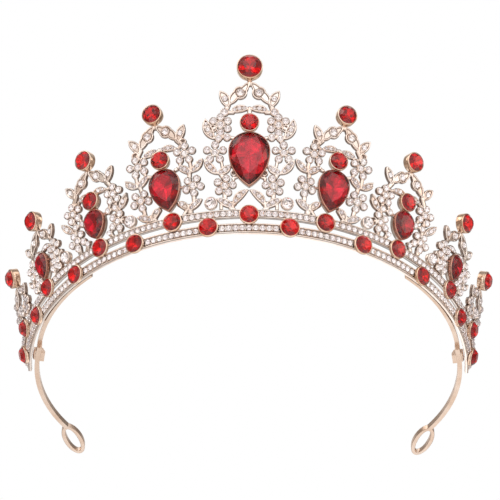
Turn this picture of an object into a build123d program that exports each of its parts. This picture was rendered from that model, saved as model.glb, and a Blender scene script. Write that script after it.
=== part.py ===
from build123d import *
import math
import os

# ----------------------------------------------------------------------------
# Baroque tiara: nine cast crests on a double gem-set rail, with a springy
# headband arm soldered and crimped behind each end of the lower rail.  Each
# arm ends in a ribbon loop.  Units are millimetres.
# Frame: +Z up, front of the tiara faces -Y, origin at the front centre of the
# circle that the two arms follow, in the plane z = 0 that the tiara stands on.
# ----------------------------------------------------------------------------

# ---- driving dimensions ------------------------------------------------------
RING_R = 78.07          # radius of the gem face surface at the lower rail
FLARE = 19.3            # outward lean of the whole front panel, degrees
Z_BASE = 2.772          # height of the gem face reference circle above the table
Y_CENTRE = 73.2         # ring axis, measured back from the front of the arms' circle

# depth levels, measured along the outward panel normal from the gem face surface
S_BACK = -2.9           # back of rails and crests
S_FLOOR = -2.05         # floor of the rail channel
S_WALL = -1.3           # top of the rail walls
S_CREST_FLOOR = -2.2    # floor of the stone seats in the crests
S_CREST = -1.55         # front face of the crests

LOWER_RAIL_Z = 1.42     # height of the lower rail's flat underside
LOWER_RAIL_TOP = 1.4
UPPER_RAIL_T = (3.3, 6.2)
LOWER_CUP_T = 0.3
UPPER_CUP_T = 4.0
LOWER_RAIL_END = 88.5   # half angle of the lower rail
UPPER_RAIL_END = 85.5   # half angle of the upper rail
RAIL_WALL = 0.45

# gems
ROUND_R = 3.0           # 6 mm round crystals
FINIAL_R0 = 4.05        # centre finial crystal
FINIAL_R = 3.15         # other finial crystals
SPACER_R = 1.9          # clear round crystals between the crests
PAVE_R = 0.93           # small rhinestones in the rails
PETAL_R = 1.0           # rhinestones in the flowers
LEAF_R = 0.72           # rhinestones in the leaves
CUP_WALL = 0.27
FIT = 0.03              # clearance between a crystal and its seat

LOWER_ANGLES = [9.74, 28.5, 47.5, 66.7, 83.4]
UPPER_ANGLES = [0.0, 18.3, 38.2, 58.5, 75.9]
CREST_LEAN = [0.0, 4.5, -1.2, -2.6, -7.0]
CREST_SHIFT = [0.0, 0.5, 0.6, 0.0, 0.0]      # sideways offset of each crest's axis
SMALL_WALL = 0.22
PETAL_RIM = 0.34        # metal round each flower stone
PARTING = [10.14, 28.69, 49.1, 67.7]         # angles where neighbouring crests part
FINIAL_T = [56.6, 43.7, 36.7, 30.1, 23.9]
SMALL_T = [36.42, 26.53, 21.48, None, None]
NECK_T = [42.0, 30.7, 24.6]                   # top of the neck behind each small crystal
PEAR_T = [26.2, 17.8, 13.88, 13.6, None]     # centre of the round end
PEAR_W = [13.2, 10.2, 8.0, 6.6, None]
PEAR_L = [18.7, 14.6, 10.0, 9.0, None]
PEAR_CROWN = [1.75, 1.45, 1.2, 1.05, None]
SPACERS = [(8.95, 8.95), (29.2, 8.85), (50.0, 8.85)]
END_SPACER_T = 10.9

# headband arms
BAND_R = 73.2           # centre-line radius
BAND_W = 1.6            # radial thickness
BAND_H = 1.9            # height, standing on z = 0
ARM_FRONT = 44.0        # angle where each arm begins, behind the lower rail
ARM_STEP = 78.7         # angle where the arm steps down from the rail to the table
STRIP_Z = (1.62, 3.3)   # bottom and top of the arm where it runs behind the rail
RAIL_FOOT = -2.3        # the rail's underside is this deep; behind it the back is cut away
ARM_DRAW = 1.9          # how far the arm is drawn inside its circle at the loop
LOOP_AT = (62.9, 110.4)  # centre of the oval ribbon loop
LOOP_TURN = 104.2       # direction of the loop's long axis, degrees from +X
LOOP_OUT = (8.4, 3.5)   # half length and half width of the loop, outside
LOOP_IN = (6.85, 1.95)  # and of its opening

PHI = math.radians(FLARE)


# ---- the flared panel surface -----------------------------------------------
def point(theta, t, s):
    a = math.radians(theta)
    r = RING_R + t * math.sin(PHI) + s * math.cos(PHI)
    z = t * math.cos(PHI) - s * math.sin(PHI)
    return Vector(r * math.sin(a), Y_CENTRE - r * math.cos(a), z + Z_BASE)


def normal(theta):
    a = math.radians(theta)
    return Vector(math.sin(a) * math.cos(PHI), -math.cos(a) * math.cos(PHI), -math.sin(PHI))


def panel_plane(theta, t, s=0.0, lean=0.0):
    a = math.radians(theta)
    x = Vector(math.cos(a), math.sin(a), 0)
    n = normal(theta)
    y = n.cross(x)
    b = math.radians(lean)
    xd = x * math.cos(b) - y * math.sin(b)
    return Plane(origin=point(theta, t, s), x_dir=xd, z_dir=n)


def profile_plane(theta):
    a = math.radians(theta)
    return Plane(origin=(0, Y_CENTRE, 0), x_dir=(math.sin(a), -math.cos(a), 0),
                 z_dir=(-math.cos(a), -math.sin(a), 0))


def rz(t, s):
    return (RING_R + t * math.sin(PHI) + s * math.cos(PHI),
            t * math.cos(PHI) - s * math.sin(PHI) + Z_BASE)


def t_at_z(z, s):
    return (z - Z_BASE + s * math.sin(PHI)) / math.cos(PHI)


RING_AXIS = Axis((0, Y_CENTRE, 0), (0, 0, 1))


def ring_sweep(points, half_angle, centre=0.0):
    face = profile_plane(centre - half_angle) * make_face(Polyline(*points, close=True))
    return revolve(face, axis=RING_AXIS, revolution_arc=2 * half_angle)


def flip(shape):
    return mirror(shape, about=Plane.YZ)


def save(name, solids):
    solids = [s for item in solids for s in item.solids()]
    export_step(Compound(children=solids) if len(solids) > 1 else solids[0], f"parts/{name}.step")


# ---- crystals ----------------------------------------------------------------
def polyhedron(faces):
    made = [Face(Wire.make_polygon([Vector(*p) for p in f], close=True)) for f in faces]
    return Solid(Shell(made))


def gem(outline, table, crown, girdle, pavilion, culet):
    """Faceted crystal with an even point count outline; z = 0 at the girdle top."""
    n = len(outline)
    cx = sum(p[0] for p in outline) / n
    cy = sum(p[1] for p in outline) / n
    top = [(x, y, 0.0) for x, y in outline]
    low = [(x, y, -girdle) for x, y in outline]
    tab = [(cx + (x - cx) * table, cy + (y - cy) * table, crown) for x, y in outline[::2]]
    bot = [(cx + (x - cx) * culet, cy + (y - cy) * culet, -pavilion) for x, y in outline[::2]]
    m = len(tab)
    faces = [tab, bot[::-1]]
    for i in range(m):
        a, b, c = 2 * i, 2 * i + 1, (2 * i + 2) % n
        j = (i + 1) % m
        faces.append([tab[i], top[a], top[b]])
        faces.append([tab[i], top[b], tab[j]])
        faces.append([tab[j], top[b], top[c]])
        faces.append([bot[i], low[b], low[a]])
        faces.append([bot[i], bot[j], low[b]])
        faces.append([bot[j], low[c], low[b]])
    for i in range(n):
        k = (i + 1) % n
        faces.append([top[i], low[i], low[k], top[k]])
    return polyhedron(faces)


def circle_outline(r, n=16):
    return [(r * math.cos(2 * math.pi * i / n), r * math.sin(2 * math.pi * i / n)) for i in range(n)]


def pear_outline(w, length, grow=0.0, n=24):
    """Round end up, point down; (0, 0) is the centre of the round end."""
    r = w / 2 + grow
    low = length - w / 2 + grow * 1.5
    ra = (r * r + low * low) / (2 * r)
    span = math.asin(low / ra)
    pts = []
    half = n // 2
    for i in range(half + 1):                      # right side to left over the top
        a = math.pi * i / half
        pts.append((r * math.cos(a), r * math.sin(a)))
    m = n // 2
    left = [(-(r - ra) - ra * math.cos(span * i / (m // 2)), -ra * math.sin(span * i / (m // 2)))
            for i in range(1, m // 2 + 1)]
    right = [(-x, y) for x, y in left[:-1]][::-1]
    return pts + left + right


def pear_face(w, length, grow):
    r = w / 2 + grow
    low = length - w / 2 + grow * 1.5
    ra = (r * r + low * low) / (2 * r)
    span = math.asin(low / ra) / 2
    mid = (r - ra + ra * math.cos(span), -ra * math.sin(span))
    line = [ThreePointArc((r, 0), (0, r), (-r, 0)),
            ThreePointArc((-r, 0), (-mid[0], mid[1]), (0, -low)),
            ThreePointArc((0, -low), mid, (r, 0))]
    return make_face(line)


def rhinestone(r, base, height):
    """Small flat-back stone: short cylinder with a conical crown and flat table."""
    prof = make_face(Polyline((0, 0), (r, 0), (r, base), (r * 0.58, height), (0, height), close=True))
    return revolve(Plane.XZ * prof, axis=Axis.Z)


# ---- crest drawing helpers ----------------------------------------------------
def leaf_pts(a, b, w, bend=0.0):
    """Marquise leaf between two tips; bend bows it to the left of a->b."""
    ax, ay = a
    bx, by = b
    ux, uy = bx - ax, by - ay
    d = math.hypot(ux, uy)
    nx, ny = -uy / d, ux / d
    mx, my = (ax + bx) / 2, (ay + by) / 2
    return ((mx + nx * (bend + w / 2), my + ny * (bend + w / 2)),
            (mx + nx * (bend - w / 2), my + ny * (bend - w / 2)))


def leaf_face(a, b, w, bend=0.0):
    p, q = leaf_pts(a, b, w, bend)
    return make_face([ThreePointArc(a, p, b), ThreePointArc(b, q, a)])


def shrink(a, b, by):
    d = math.hypot(b[0] - a[0], b[1] - a[1])
    k = by / d
    return ((a[0] + (b[0] - a[0]) * k, a[1] + (b[1] - a[1]) * k),
            (b[0] - (b[0] - a[0]) * k, b[1] - (b[1] - a[1]) * k))


def along(a, b, bend, f):
    """Point at fraction f on the leaf's bowed midline."""
    x = a[0] + (b[0] - a[0]) * f
    y = a[1] + (b[1] - a[1]) * f
    d = math.hypot(b[0] - a[0], b[1] - a[1])
    k = bend * 4 * f * (1 - f)
    return (x - (b[1] - a[1]) / d * k, y + (b[0] - a[0]) / d * k)


def disc(p, r):
    return Pos(p[0], p[1]) * Circle(r).face()


def bar(a, b, w):
    d = math.hypot(b[0] - a[0], b[1] - a[1])
    ang = math.degrees(math.atan2(b[1] - a[1], b[0] - a[0]))
    return (Pos((a[0] + b[0]) / 2, (a[1] + b[1]) / 2) * Rot(0, 0, ang) * Rectangle(d, w)).face()


# ---- crest designs ------------------------------------------------------------
# Every crest is symmetric about its own axis, so only its right half is listed.
# Coordinates are (x, t): across the crest, and up the panel from the lower rail.
#   leaf:   tip, tip, width, bow, number of stones
#   flower: centre, petal circle radius, petal count, first petal angle
#   stone:  centre, stone radius
#   bar:    end, end, width
def crest_design(k):
    tf = FINIAL_T[k]
    leaves, flowers, stones, bars, drops = [], [], [], [], []
    if k == 0:
        drops.append(((0.2, tf - 4.9), (3.1, tf - 8.9), (6.9, tf - 13.2), 2.35))
        leaves += [((7.0, tf - 14.4), (9.9, tf - 8.2), 3.3, 0.35, 1),
                   ((0.05, tf - 14.9), (6.3, tf - 16.0), 2.7, 0.8, 3),
                   ((11.3, 30.8), (14.5, 38.3), 3.3, -0.75, 3),
                   ((5.8, 21.9), (10.5, 18.6), 2.7, -0.35, 3),
                   ((10.1, 18.5), (14.7, 23.9), 2.7, -0.4, 3),
                   ((0.05, 13.1), (5.0, 7.4), 2.7, 0.95, 3),
                   ((4.9, 6.7), (10.6, 9.9), 2.7, 0.3, 3)]
        flowers += [((9.5, 36.1), 2.75, 6, 30), ((11.2, 26.2), 2.75, 5, 90), ((7.9, 14.5), 2.6, 5, 100)]
        stones += [((8.2, 40.6), 1.05), ((7.3, 31.6), 0.9), ((10.1, 31.3), 0.9), ((5.0, 18.9), 0.7)]
        bars += [((0.0, tf - 5.8), (0.0, tf - 4.0), 1.6), ((6.9, tf - 13.0), (8.0, 40.6), 1.8),
                 ((5.4, 40.6), (8.0, 40.6), 1.3), ((8.8, 32.0), (11.0, 29.3), 1.4),
                 ((7.3, 31.8), (5.2, 31.4), 1.2), ((6.2, 21.3), (5.4, 22.0), 1.2),
                 ((9.2, 23.8), (8.6, 20.2), 1.1), ((9.4, 19.0), (8.0, 16.6), 1.6),
                 ((3.2, 17.9), (5.4, 17.0), 0.9), ((7.9, 11.8), (7.6, 8.2), 1.6),
                 ((5.0, 17.4), (5.2, 15.0), 1.0),
                 ((4.6, 8.3), (5.6, 7.4), 1.4), ((5.6, 5.0), (5.6, 8.2), 2.0),
                 ((9.0, 5.0), (9.0, 9.0), 1.2), ((3.4, 5.0), (5.4, 6.9), 1.0)]
    elif k == 1:
        drops.append(((0.2, tf - 3.7), (3.2, tf - 7.0), (6.4, tf - 11.0), 2.2))
        leaves += [((6.8, tf - 12.2), (9.9, tf - 6.3), 3.1, 0.35, 1),
                   ((0.05, tf - 13.3), (6.0, tf - 14.3), 2.4, 0.7, 3),
                   ((4.8, 23.0), (9.1, 19.2), 2.6, 0.5, 3),
                   ((9.1, 19.8), (14.0, 23.5), 2.6, -0.3, 3),
                   ((3.0, 10.9), (6.2, 6.9), 2.5, 0.4, 2),
                   ((6.2, 6.7), (11.4, 9.6), 2.6, 0.3, 3)]
        flowers += [((8.2, 27.0), 2.7, 5, 80), ((9.1, 15.0), 2.6, 5, 52)]
        stones += [((8.4, 31.3), 0.8)]
        bars += [((0.0, tf - 4.6), (0.0, tf - 3.2), 1.5), ((6.4, tf - 11.2), (8.2, 30.0), 1.8),
                 ((5.6, 29.2), (7.6, 30.0), 1.2), ((4.2, 22.2), (5.6, 22.6), 1.2),
                 ((6.4, 24.6), (5.8, 22.4), 1.2), ((9.4, 24.6), (9.4, 20.2), 1.3),
                 ((8.6, 19.6), (8.2, 17.2), 1.5), ((8.8, 12.6), (8.4, 8.0), 1.5),
                 ((5.2, 15.6), (6.8, 15.4), 0.9), ((5.6, 7.6), (7.0, 7.6), 1.3), ((6.6, 5.0), (6.6, 8.2), 2.0),
                 ((3.4, 10.0), (5.4, 7.8), 1.6), ((3.6, 5.0), (5.6, 7.2), 1.2)]
    elif k == 2:
        drops.append(((0.2, tf - 3.7), (3.2, tf - 6.9), (6.5, tf - 10.3), 2.1))
        leaves += [((7.0, tf - 11.2), (10.2, tf - 5.9), 3.0, 0.35, 1),
                   ((0.05, tf - 12.8), (6.3, tf - 13.2), 2.3, 0.65, 3),
                   ((9.6, 14.1), (14.3, 19.0), 2.7, -0.3, 3),
                   ((3.4, 8.6), (5.6, 6.9), 1.7, 0.25, 1)]
        flowers += [((8.7, 20.6), 2.55, 5, 85), ((8.7, 10.6), 2.55, 5, 60)]
        stones += [((5.6, 15.7), 0.85), ((8.6, 15.6), 0.85)]
        bars += [((0.0, tf - 4.6), (0.0, tf - 3.2), 1.5), ((6.6, tf - 10.6), (8.4, 23.2), 1.8),
                 ((6.0, 23.4), (8.2, 23.3), 1.2), ((4.0, 15.4), (5.8, 15.7), 1.2),
                 ((6.8, 18.6), (5.8, 15.6), 1.3), ((9.0, 18.2), (9.0, 13.2), 1.5),
                 ((5.7, 15.6), (8.7, 15.6), 1.1), ((4.6, 8.0), (6.8, 9.6), 1.3), ((8.6, 8.4), (8.6, 5.0), 1.8),
                 ((5.0, 7.4), (6.0, 5.0), 1.6)]
    elif k == 3:
        drops.append(((0.2, tf - 3.7), (3.0, tf - 6.8), (5.8, tf - 10.0), 1.85))
        leaves += [((6.2, tf - 10.9), (9.2, tf - 6.2), 2.9, 0.35, 1),
                   ((0.05, tf - 12.2), (5.6, tf - 12.6), 2.2, 0.6, 3),
                   ((8.4, 9.2), (11.4, 12.6), 2.2, -0.3, 2)]
        flowers += [((7.3, 15.0), 2.5, 5, 85), ((6.4, 8.9), 2.1, 5, 36)]
        bars += [((0.0, tf - 4.6), (0.0, tf - 3.2), 1.5), ((0.0, 16.4), (0.0, 18.2), 1.5),
                 ((6.0, tf - 10.4), (7.2, 17.4), 1.8),
                 ((5.3, 17.5), (7.2, 17.4), 1.2), ((2.5, 13.1), (5.2, 13.6), 1.1),
                 ((7.0, 12.8), (6.6, 10.6), 1.5), ((6.4, 7.4), (6.4, 5.0), 1.8)]
    else:
        drops.append(((0.2, tf - 3.7), (2.9, tf - 6.6), (5.2, tf - 9.6), 1.8))
        leaves += [((5.4, tf - 10.2), (8.0, tf - 6.4), 2.5, 0.35, 1)]
        flowers += [((5.3, 10.6), 2.3, 5, 85)]
        bars += [((0.0, tf - 4.6), (0.0, tf - 3.2), 1.5), ((5.2, tf - 10.0), (5.4, 12.6), 1.8),
                 ((2.1, 10.9), (3.4, 10.8), 1.0), ((5.2, 8.4), (5.2, 5.0), 1.8), ((2.6, 5.0), (4.6, 8.6), 1.0)]
    return leaves, flowers, stones, bars, drops


def drop_face(tip, mid, tail, w, grow=0.0):
    """Curved teardrop leaf: full round around mid, narrow stem to tip, tail at the outer end."""
    bulb = disc(mid, w + grow)
    up = leaf_face(tip, (mid[0] + 0.5 * (mid[0] - tip[0]), mid[1] + 0.5 * (mid[1] - tip[1])), 2.7 + 2 * grow, 0.3)
    down = leaf_face((mid[0] - 0.7, mid[1] + 1.3), tail, 3.0 + 2 * grow, 0.25)
    return [bulb, up, down]


def merge(faces):
    out = faces[0].fuse(*faces[1:])
    return out if isinstance(out, (list, ShapeList)) else ShapeList([out])


def faces_of(x):
    if isinstance(x, (list, ShapeList)):
        return [f for y in x for f in y.faces()]
    return list(x.faces())


def build_crest(k):
    """Returns (plate solid, list of stone placements) in the row frame for the right side."""
    leaves, flowers, stones, bars, drops = crest_design(k)
    t0 = 4.1
    outline, recess, seats = [], [], []

    def both(p):
        return [(p[0], p[1] - t0), (-p[0], p[1] - t0)]

    for sgn in (1, -1):
        def m(p):
            return (sgn * p[0], p[1] - t0)
        for a, b, w, bend, n in leaves:
            a2, b2, bd = m(a), m(b), bend * sgn
            outline.append(leaf_face(a2, b2, w, bd))
            ia, ib = shrink(a2, b2, 0.65)
            recess.append(leaf_face(ia, ib, w - 0.7, bd * 0.9))
            fr = {1: [0.5], 2: [0.36, 0.64], 3: [0.24, 0.5, 0.76]}[n]
            for f in fr:
                r = 0.88 if n == 1 else (LEAF_R if f == 0.5 or n == 2 else LEAF_R * 0.8)
                seats.append((along(a2, b2, bd, f), r))
        for tip, mid, tail, w in drops:
            parts = drop_face(m(tip), m(mid), m(tail), w)
            outline += parts
            seats.append((m(mid), 1.12))
        for c, r, n, a0 in flowers:
            cc = m(c)
            outline.append(disc(cc, 1.3))
            seats.append((cc, PETAL_R * 0.9))
            for i in range(n):
                ang = math.radians(a0 + 360 / n * i)
                p = (c[0] + r * math.cos(ang), c[1] + r * math.sin(ang))
                p = m(p)
                outline.append(disc(p, PETAL_R + PETAL_RIM))
                outline.append(bar(cc, p, 1.3))
                seats.append((p, PETAL_R))
        for c, r in stones:
            outline.append(disc(m(c), r + 0.42))
            seats.append((m(c), r))
        for a, b, w in bars:
            if a[0] == 0 and b[0] == 0 and sgn < 0:
                continue
            outline.append(bar(m(a), m(b), w))
    # backing frame behind the red crystals
    if PEAR_T[k]:
        ring = pear_face(PEAR_W[k], PEAR_L[k], 0.1) - Pos(0, 0) * pear_face(PEAR_W[k], PEAR_L[k], -1.5)
        outline.append(Pos(0, PEAR_T[k] - t0) * ring.faces()[0])
    if SMALL_T[k]:
        ring = Circle(2.9) - Circle(1.5)
        outline.append(Pos(0, SMALL_T[k] - t0) * ring.faces()[0])
        outline.append(bar((0, SMALL_T[k] - t0 - 2.0), (0, PEAR_T[k] - t0 + PEAR_W[k] / 2 - 0.8), 2.2))
        # neck from the small crystal's seat up to the leaves above it
        outline.append(bar((0, SMALL_T[k] - t0 + 2.3), (0, NECK_T[k] - t0), 1.6))
    flat = merge(outline)
    return max(faces_of(flat), key=lambda f: f.area), recess, seats




def wedge(a0, a1):
    """Vertical sector of the ring between two angles, used to part neighbouring crests."""
    far = 160.0
    pts = [(0, Y_CENTRE)]
    for a in (a0, (a0 + a1) / 2, a1):
        q = math.radians(a)
        pts.append((far * math.sin(q), Y_CENTRE - far * math.cos(q)))
    return Pos(0, 0, -5) * extrude(make_face(Polyline(*pts, close=True)), 90)


def inside(poly, x, y):
    hit = False
    for (x0, y0), (x1, y1) in zip(poly, poly[1:] + poly[:1]):
        if (y0 > y) != (y1 > y) and x < (x1 - x0) * (y - y0) / (y1 - y0) + x0:
            hit = not hit
    return hit


def place_on(plane, item):
    return plane.location * item


GAP = 0.025             # half gap between neighbouring crests, degrees
SPACER_PLANES = [panel_plane(a, t) for a, t in SPACERS]


def crest_parts(k):
    """Plate, rhinestones and clear end gem of one right-hand crest, in the row frame."""
    t0 = 4.1
    straight = panel_plane(UPPER_ANGLES[k], t0)
    plane = Plane(origin=straight.origin + straight.x_dir * CREST_SHIFT[k],
                  x_dir=panel_plane(UPPER_ANGLES[k], t0, 0.0, CREST_LEAN[k]).x_dir, z_dir=straight.z_dir)
    face, recess, seats = build_crest(k)
    plate = Pos(0, 0, S_BACK) * extrude(face, S_CREST - S_BACK)
    fin_r = FINIAL_R0 if k == 0 else FINIAL_R
    keepouts = [(0.0, FINIAL_T[k] - t0, fin_r + CUP_WALL)]
    if SMALL_T[k]:
        keepouts.append((0.0, SMALL_T[k] - t0, ROUND_R + SMALL_WALL))
    if k == 4:
        keepouts.append((0.0, END_SPACER_T - t0, SPACER_R + CUP_WALL))
    # spacer cups and rail cups seen in this crest's own plane
    inv = plane.location.inverse()
    for a, t in SPACERS:
        for sgn in (1, -1):
            p = (inv * Location(point(sgn * a, t, -2.2))).position
            if abs(p.X) < 20 and abs(p.Z + 2.2) < 4:
                keepouts.append((p.X, p.Y, SPACER_R + CUP_WALL + 0.05))
    keepouts.append((-CREST_SHIFT[k], UPPER_CUP_T - t0, ROUND_R + CUP_WALL))
    pear = None
    if PEAR_T[k]:
        pear = [(x, y + PEAR_T[k] - t0) for x, y in pear_outline(PEAR_W[k], PEAR_L[k], 0.42, 48)]
    lo = 0.0 if k == 0 else PARTING[k - 1]
    hi = 97.0 if k == 4 else PARTING[k]
    if k == 0:
        lo = -hi
    kept = []
    for (x, y), r in seats:
        ring = [(x + (r + 0.1) * math.cos(math.radians(a)), y + (r + 0.1) * math.sin(math.radians(a)))
                for a in range(0, 360, 30)]
        if any(math.hypot(x - cx, y - cy) < r + cr + 0.08 for cx, cy, cr in keepouts):
            continue
        if any(math.hypot(x - q[0][0], y - q[0][1]) < r + q[1] + 0.1 for q in kept):
            continue
        if pear and any(inside(pear, *q) for q in ring):
            continue
        if y + t0 - r < 6.0:
            continue
        w = (plane.location * Location((x, y, -2.0))).position
        ang = math.degrees(math.atan2(w.X, Y_CENTRE - w.Y))
        rad = math.hypot(w.X, Y_CENTRE - w.Y)
        edge = math.degrees((r + 0.15) / rad)
        if ang - edge < lo or ang + edge > hi:
            continue
        kept.append(((x, y), r))
    cutters = [Pos(0, 0, S_CREST - 0.35) * extrude(f, 1.0) for f in recess]
    cutters += [Pos(x, y, S_CREST_FLOOR) * extrude(Circle(r + FIT), 1.0) for (x, y), r in kept]
    cutters.append(Pos(0, FINIAL_T[k] - t0, -6) * extrude(Circle(fin_r + CUP_WALL + 0.02), 8))
    if k == 4:
        cutters.append(Pos(0, END_SPACER_T - t0, -6) * extrude(Circle(SPACER_R + CUP_WALL + 0.02), 8))
    plate = plate.cut(*cutters)
    plate = Compound(children=list(plate.solids())) if not isinstance(plate, Solid) else plate
    plate = plane.location * plate
    plate = plate.intersect(wedge(lo + GAP, hi - GAP))
    # everything below the top edge of the upper rail is trimmed off
    upright = panel_plane(UPPER_ANGLES[k], t0)
    spacer_cut = [upright.location * (Pos(0, UPPER_RAIL_T[1] + 0.03 - t0 - 10, -6) * extrude(Rectangle(60, 20), 8))]
    for sp in SPACER_PLANES:
        body = sp.location * (Pos(0, 0, -6) * extrude(Circle(SPACER_R + CUP_WALL + 0.03), 8))
        spacer_cut.append(body)
        if k == 0:
            spacer_cut.append(flip(body))
    solids = plate.solids() if not isinstance(plate, (list, ShapeList)) else [q for p in plate for q in p.solids()]
    big = max(solids, key=lambda q: q.volume)
    big = big.cut(*spacer_cut)
    big = max(big.solids(), key=lambda q: q.volume)
    stones = [plane.location * (Pos(x, y, S_CREST_FLOOR + 0.02) * STONES[round(r, 3)])
              for (x, y), r in kept]
    return big, stones, plane


STONES = {}


def stone_template(r):
    r = round(r, 3)
    if r not in STONES:
        STONES[r] = rhinestone(r, 0.72, 0.72 + 0.62 * min(1.0, r / 0.9))
    return STONES[r]


for value in (PETAL_R, PETAL_R * 0.9, LEAF_R, LEAF_R * 0.8, 0.88, 0.8, 1.12, 1.05, 0.9, 0.7, 0.85, PAVE_R):
    stone_template(value)


def cup_and_gem(plane, r, back, rim, crown, girdle=0.22, wall=CUP_WALL, floor=0.34):
    cup = (Pos(0, 0, back) * extrude(Circle(r + wall), rim - back)
           - Pos(0, 0, back + floor) * extrude(Circle(r + FIT), 5.0))
    depth = (rim - 0.02) - (back + floor) - 0.04
    stone = Pos(0, 0, rim - 0.02) * gem(circle_outline(r), 0.56, crown, girdle, min(depth, 1.5), 0.3)
    return plane.location * cup.solid(), plane.location * stone


def pear_cup_and_gem(plane, w, length, crown):
    back, rim, floor = S_CREST + 0.03, -0.1, 0.32
    cup = (Pos(0, 0, back) * extrude(pear_face(w, length, 0.24), rim - back)
           - Pos(0, 0, back + floor) * extrude(pear_face(w, length, FIT + 0.02), 5.0))
    depth = rim - 0.02 - (back + floor) - 0.05
    stone = Pos(0, 0, rim - 0.02) * gem(pear_outline(w, length), 0.58, crown, 0.22, depth, 0.3)
    return plane.location * cup.solid(), plane.location * stone


def polar(r, a):
    q = math.radians(a)
    return (r * math.sin(q), Y_CENTRE - r * math.cos(q))


def arc(r, a0, a1):
    return ThreePointArc(polar(r, a0), polar(r, (a0 + a1) / 2), polar(r, a1))


def arm_line(theta, side):
    """Point on the arm's edge; side is +1 for the outer edge and -1 for the inner one."""
    def centre(q):
        draw = ARM_DRAW * (max(0.0, q - 84.0) / 30.2) ** 2
        return polar(BAND_R - draw, q)
    (x0, y0), (x1, y1) = centre(theta - 0.05), centre(theta + 0.05)
    n = math.hypot(x1 - x0, y1 - y0)
    x, y = centre(theta)
    return (x + side * BAND_W / 2 * (y1 - y0) / n, y - side * BAND_W / 2 * (x1 - x0) / n)


def arm_outline():
    """One arm seen from above, from the step to the loop."""
    stops = [ARM_STEP - 2.2 + (115.0 - ARM_STEP + 2.2) * i / 10 for i in range(11)]
    outer = [arm_line(q, 1) for q in stops]
    inner = [arm_line(q, -1) for q in reversed(stops)]
    return make_face([Spline(*outer), Line(outer[-1], inner[0]), Spline(*inner), Line(inner[-1], outer[0])])


def ribbon_loop():
    """Closed oval loop at the end of the right arm."""
    oval = Pos(LOOP_AT[0], LOOP_AT[1], 0) * Rot(0, 0, LOOP_TURN) * (Ellipse(*LOOP_OUT) - Ellipse(*LOOP_IN))
    return band_rounded(extrude(oval, BAND_H))


def headband_arm():
    """Right arm: a tapered tongue soldered behind the lower rail, a step down, the arm and its closed loop."""
    back = band_rounded(extrude(arm_outline(), BAND_H)) + ribbon_loop()
    h = BAND_W / 2 - 0.05
    mid = (ARM_FRONT + ARM_STEP) / 2
    tongue = make_face([
        ThreePointArc(polar(74.82, ARM_FRONT), polar(74.75, mid), polar(BAND_R + h, ARM_STEP)),
        Line(polar(BAND_R + h, ARM_STEP), polar(BAND_R - h, ARM_STEP)),
        ThreePointArc(polar(BAND_R - h, ARM_STEP), polar(73.6, mid), polar(73.92, ARM_FRONT)),
        Line(polar(73.92, ARM_FRONT), polar(74.82, ARM_FRONT)),
    ])
    tongue = Pos(0, 0, STRIP_Z[0]) * extrude(tongue, STRIP_Z[1] - STRIP_Z[0])
    riser = ring_sweep([(BAND_R - h, 0.35), (BAND_R + h, 0.35), (BAND_R + h, STRIP_Z[1]),
                        (BAND_R - h, STRIP_Z[1])], 1.05, ARM_STEP - 1.05)
    return (back + tongue + riser).solid()


def band_rounded(band):
    try:
        long_edges = [e for e in band.edges() if abs(e.center().Z) < 1e-6 or abs(e.center().Z - BAND_H) < 1e-6]
        return fillet(long_edges, 0.25).solid()
    except Exception:
        return band


def rail(foot, t_low_front, t_high, half_angle):
    pts = foot + [rz(t_low_front, S_WALL),
           rz(t_low_front + RAIL_WALL, S_WALL), rz(t_low_front + RAIL_WALL, S_FLOOR),
           rz(t_high - RAIL_WALL, S_FLOOR), rz(t_high - RAIL_WALL, S_WALL),
           rz(t_high, S_WALL), rz(t_high, S_BACK)]
    return ring_sweep(pts, half_angle).solid()


def pave_row(t, half_angle, blocked, pitch=2.0, r=PAVE_R):
    """Angles of the rhinestones that fit between the round crystals along a rail."""
    radius = RING_R + t * math.sin(PHI) + S_FLOOR * math.cos(PHI)
    stops = sorted(blocked) + [(half_angle, 0.35)]
    stops = [(-half_angle, 0.35)] + stops
    out = []
    for (a0, c0), (a1, c1) in zip(stops, stops[1:]):
        lo = a0 + math.degrees((c0 + r + 0.12) / radius)
        hi = a1 - math.degrees((c1 + r + 0.12) / radius)
        if hi < lo:
            continue
        n = int((hi - lo) / math.degrees(pitch / radius)) + 1
        step = (hi - lo) / (n - 1) if n > 1 else 0.0
        out += [lo + i * step for i in range(n)] if n > 1 else [(lo + hi) / 2]
    return out


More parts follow.
